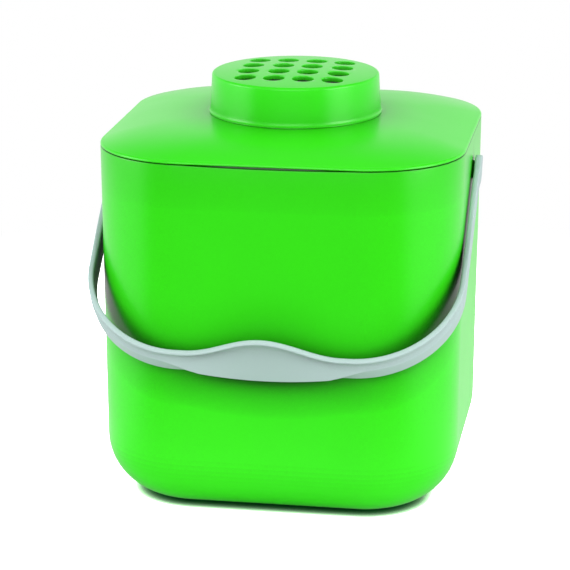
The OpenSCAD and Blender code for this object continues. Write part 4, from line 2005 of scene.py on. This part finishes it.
@dataclass(frozen=True)
class Studio:
    """The white studio: lamps, world and floor.

    Attributes:
        front_level: Mirrored brightness of the surroundings on the camera's side.
        side_level: Mirrored brightness of the surroundings at the sides and behind.
        side_band: Where the one passes to the other, as Y of the direction.
        zenith_share: Share of that brightness that is left straight above.
        zenith_band: Where it falls to that share, as Z of the direction.
        soft_level: Brightness of the surroundings as matt surfaces take it.
        floor_half: Half the floor's width in millimetres.
        floor_drop: How far the floor lies below the caddy's foot, in millimetres.
        floor_bounce: Share of its light that the floor throws back on the caddy, near and far.
        bounce_r: How far the near floor reaches from the caddy's middle, in metres.
        bounce_fade: How many times farther the far floor begins.
        floor_gain: How many times the floor's light is doubled for the camera.
        contact_reach: How far the shadow at the caddy's foot reaches, in metres.
        contact_depth: How strong it is.
        contact_colour: Its colour.
        white_r: Where the floor's plain white begins and is whole, in metres from the middle.
        gleam_y: Where the floor that the caddy mirrors begins to be white and is, in metres back.
        gleam_aside: How much each metre to the side counts as metres back in that.
        gleam_level: Brightness of that floor before and behind.
        panels: The lamps.
    """

    front_level: float = 0.25
    side_level: float = 1.1
    side_band: Flat = (-0.6, 0.1)
    zenith_share: float = 0.1
    zenith_band: Flat = (0.1, 0.7)
    soft_level: float = 0.9
    floor_half: float = 6000.0
    floor_drop: float = 0.15
    floor_bounce: Flat = (0.85, 0.05)
    bounce_r: float = 0.22
    bounce_fade: float = 1.8
    floor_gain: int = 2
    contact_reach: float = 0.006
    contact_depth: float = 2.5
    contact_colour: Colour = (0.0, 0.02, 0.005, 1.0)
    white_r: Flat = (0.3, 0.6)
    gleam_y: Flat = (-0.08, 0.15)
    gleam_aside: float = 0.8
    gleam_level: Flat = (0.05, 1.0)
    panels: tuple[LightPanel, ...] = (
        LightPanel("key_panel", (0.0, -1.75, 0.8), 1.6, 0.8, 9.0),
        LightPanel("left_panel", (-1.4, -0.5, 0.5), 0.9, 0.6, 8.0),
        LightPanel("right_panel", (1.4, -0.5, 0.5), 0.9, 0.6, 10.0),
    )

    def world(self) -> None:
        """Build the surroundings: white to the camera, dimmer on the camera's side for light."""
        world = bpy.data.worlds.new("white_studio")
        bpy.context.scene.world = world
        world.use_nodes = True
        tree = world.node_tree
        sides = split(tree, put(tree, "ShaderNodeTexCoord").outputs["Generated"])
        levels = (self.front_level, self.side_level)
        around = ranged(tree, sides["Y"], self.side_band, levels, soft=True)
        above = ranged(tree, sides["Z"], self.zenith_band, (1.0, self.zenith_share), soft=True)
        mirrored = calc(tree, "MULTIPLY", around, above)
        path = put(tree, "ShaderNodeLightPath")
        level = blend(tree, path.outputs["Is Diffuse Ray"], mirrored, self.soft_level)
        seen = calc(
            tree, "MAXIMUM", path.outputs["Is Camera Ray"], path.outputs["Is Transmission Ray"]
        )
        strength = blend(tree, seen, level, 1.0)
        shader = tree.nodes["Background"]
        shader.inputs["Color"].default_value = WHITE
        tree.links.new(strength, shader.inputs["Strength"])

    def floor(self) -> Object:
        """Build the pale floor, which shows the camera only the object's close shadow."""
        form = bmesh.new()
        bmesh.ops.create_grid(form, x_segments=2, y_segments=2, size=self.floor_half)
        bmesh.ops.translate(form, vec=(0, 0, -self.floor_drop), verts=form.verts)
        for face in form.faces:
            if face.normal.z < 0:
                face.normal_flip()
        bmesh.ops.scale(form, vec=(MM, MM, MM), verts=form.verts)
        mesh = bpy.data.meshes.new("studio_floor")
        form.to_mesh(mesh)
        form.free()
        obj = bpy.data.objects.new("studio_floor", mesh)
        bpy.context.scene.collection.objects.link(obj)
        mesh.materials.append(self.floor_material())
        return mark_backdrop(obj)

    def floor_material(self) -> Material:
        """Build the floor's material, which shows each kind of ray a floor of its own."""
        material = bpy.data.materials.new("floor_white")
        material.use_nodes = True
        tree = material.node_tree
        tree.nodes.remove(tree.nodes["Principled BSDF"])

        def shader(kind: str, inputs: Mapping[Any, Any] | None = None) -> Socket:
            """Add a shader node and return its output."""
            return put(tree, kind, inputs).outputs[0]

        place = object_place(tree)
        far = vector_calc(tree, "LENGTH", place).outputs["Value"]
        near_band = (self.bounce_r, self.bounce_fade * self.bounce_r)
        bounce = ranged(tree, far, near_band, self.floor_bounce, soft=True)
        plain = shader("ShaderNodeBsdfDiffuse", {"Color": bounce})
        # Painted shadow at the caddy's foot, by ambient occlusion, over the floor's real shadow
        nearby = openness(tree, self.contact_reach, samples=16)
        open_share = calc(tree, "POWER", nearby, self.contact_depth)
        shown = blend_colours(tree, open_share, self.contact_colour, WHITE)
        bright = shader("ShaderNodeBsdfDiffuse", {"Color": shown})
        for _ in range(self.floor_gain):
            bright = shader("ShaderNodeAddShader", {0: bright, 1: bright})
        sides = split(tree, place)
        aside = calc(tree, "ABSOLUTE", sides["X"])
        beside = calc(tree, "MULTIPLY_ADD", aside, self.gleam_aside, sides["Y"])
        gleam = ranged(tree, beside, self.gleam_y, self.gleam_level, soft=True)
        mirrored = shader("ShaderNodeEmission", {"Strength": gleam})
        beyond = ranged(tree, far, self.white_r, soft=True)
        white = shader("ShaderNodeEmission")
        bright = shader("ShaderNodeMixShader", {0: beyond, 1: bright, 2: white})
        path = put(tree, "ShaderNodeLightPath")
        seen = plain
        for ray, floor in (("Is Glossy Ray", mirrored), ("Is Camera Ray", bright)):
            seen = shader("ShaderNodeMixShader", {0: path.outputs[ray], 1: seen, 2: floor})
        tree.links.new(seen, tree.nodes["Material Output"].inputs["Surface"])
        return material

    def build(self) -> None:
        """Build the whole studio."""
        self.world()
        self.floor()
        for panel in self.panels:
            panel.build()
        LOG.info("studio: %d lamps, floor and world", len(self.panels))


# Each plastic's colour is darkened by painted shade near its neighbours, and the bin's also by a
# painted shadow under the handle
GREEN = MouldedPlastic(
    "green_plastic", (0.035, 0.78, 0.004, 1.0), (0.03, 0.72, 0.004, 1.0), 0.3, darkest_shade=0.13
)
BIN_GREEN = replace(
    GREEN,
    name="bin_plastic",
    crease_shades=((0.03, 0.25),),
    crease_shade_z=(0.02, 0.09),
    hood=(0.026, 1.55),
)
CAP_GREEN = replace(GREEN, name="cap_plastic", crease_shades=((0.03, 0.7),))
GREY = MouldedPlastic(
    "grey_plastic",
    (0.48, 0.625, 0.61, 1.0),
    (0.45, 0.595, 0.58, 1.0),
    0.5,
    crease_shades=((0.03, 1.0), (0.006, 2.0)),
    crease_shade_z=(0.175, 0.125),
)
FOAM = CarbonFoam("charcoal_foam", (0.012, 0.012, 0.013, 1.0), (0.045, 0.045, 0.048, 1.0))
STEEL = DrawnSteel("pin_steel", (0.62, 0.63, 0.65, 1.0), (0.5, 0.51, 0.53, 1.0))


def main() -> None:
    logging.basicConfig(level=logging.INFO, format="%(name)s: %(message)s")
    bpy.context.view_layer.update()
    effects = SkinEffects()
    Camera().build()
    Studio().build()
    pieces = [
        BinBody(BIN_GREEN.material(effects)).build(),
        Lid(GREEN.material(effects)).build(),
        VentCap(CAP_GREEN.material(effects)).build(),
        FilterPad(FOAM.material(effects)).build(),
        HingePin(STEEL.material(effects)).build(),
        BailHandle(GREY.material(effects)).build(),
    ]
    LOG.info("the caddy has %d dressed pieces", len(pieces))
    bpy.context.scene.view_settings.view_transform = "Standard"


if __name__ == "__main__":
    main()
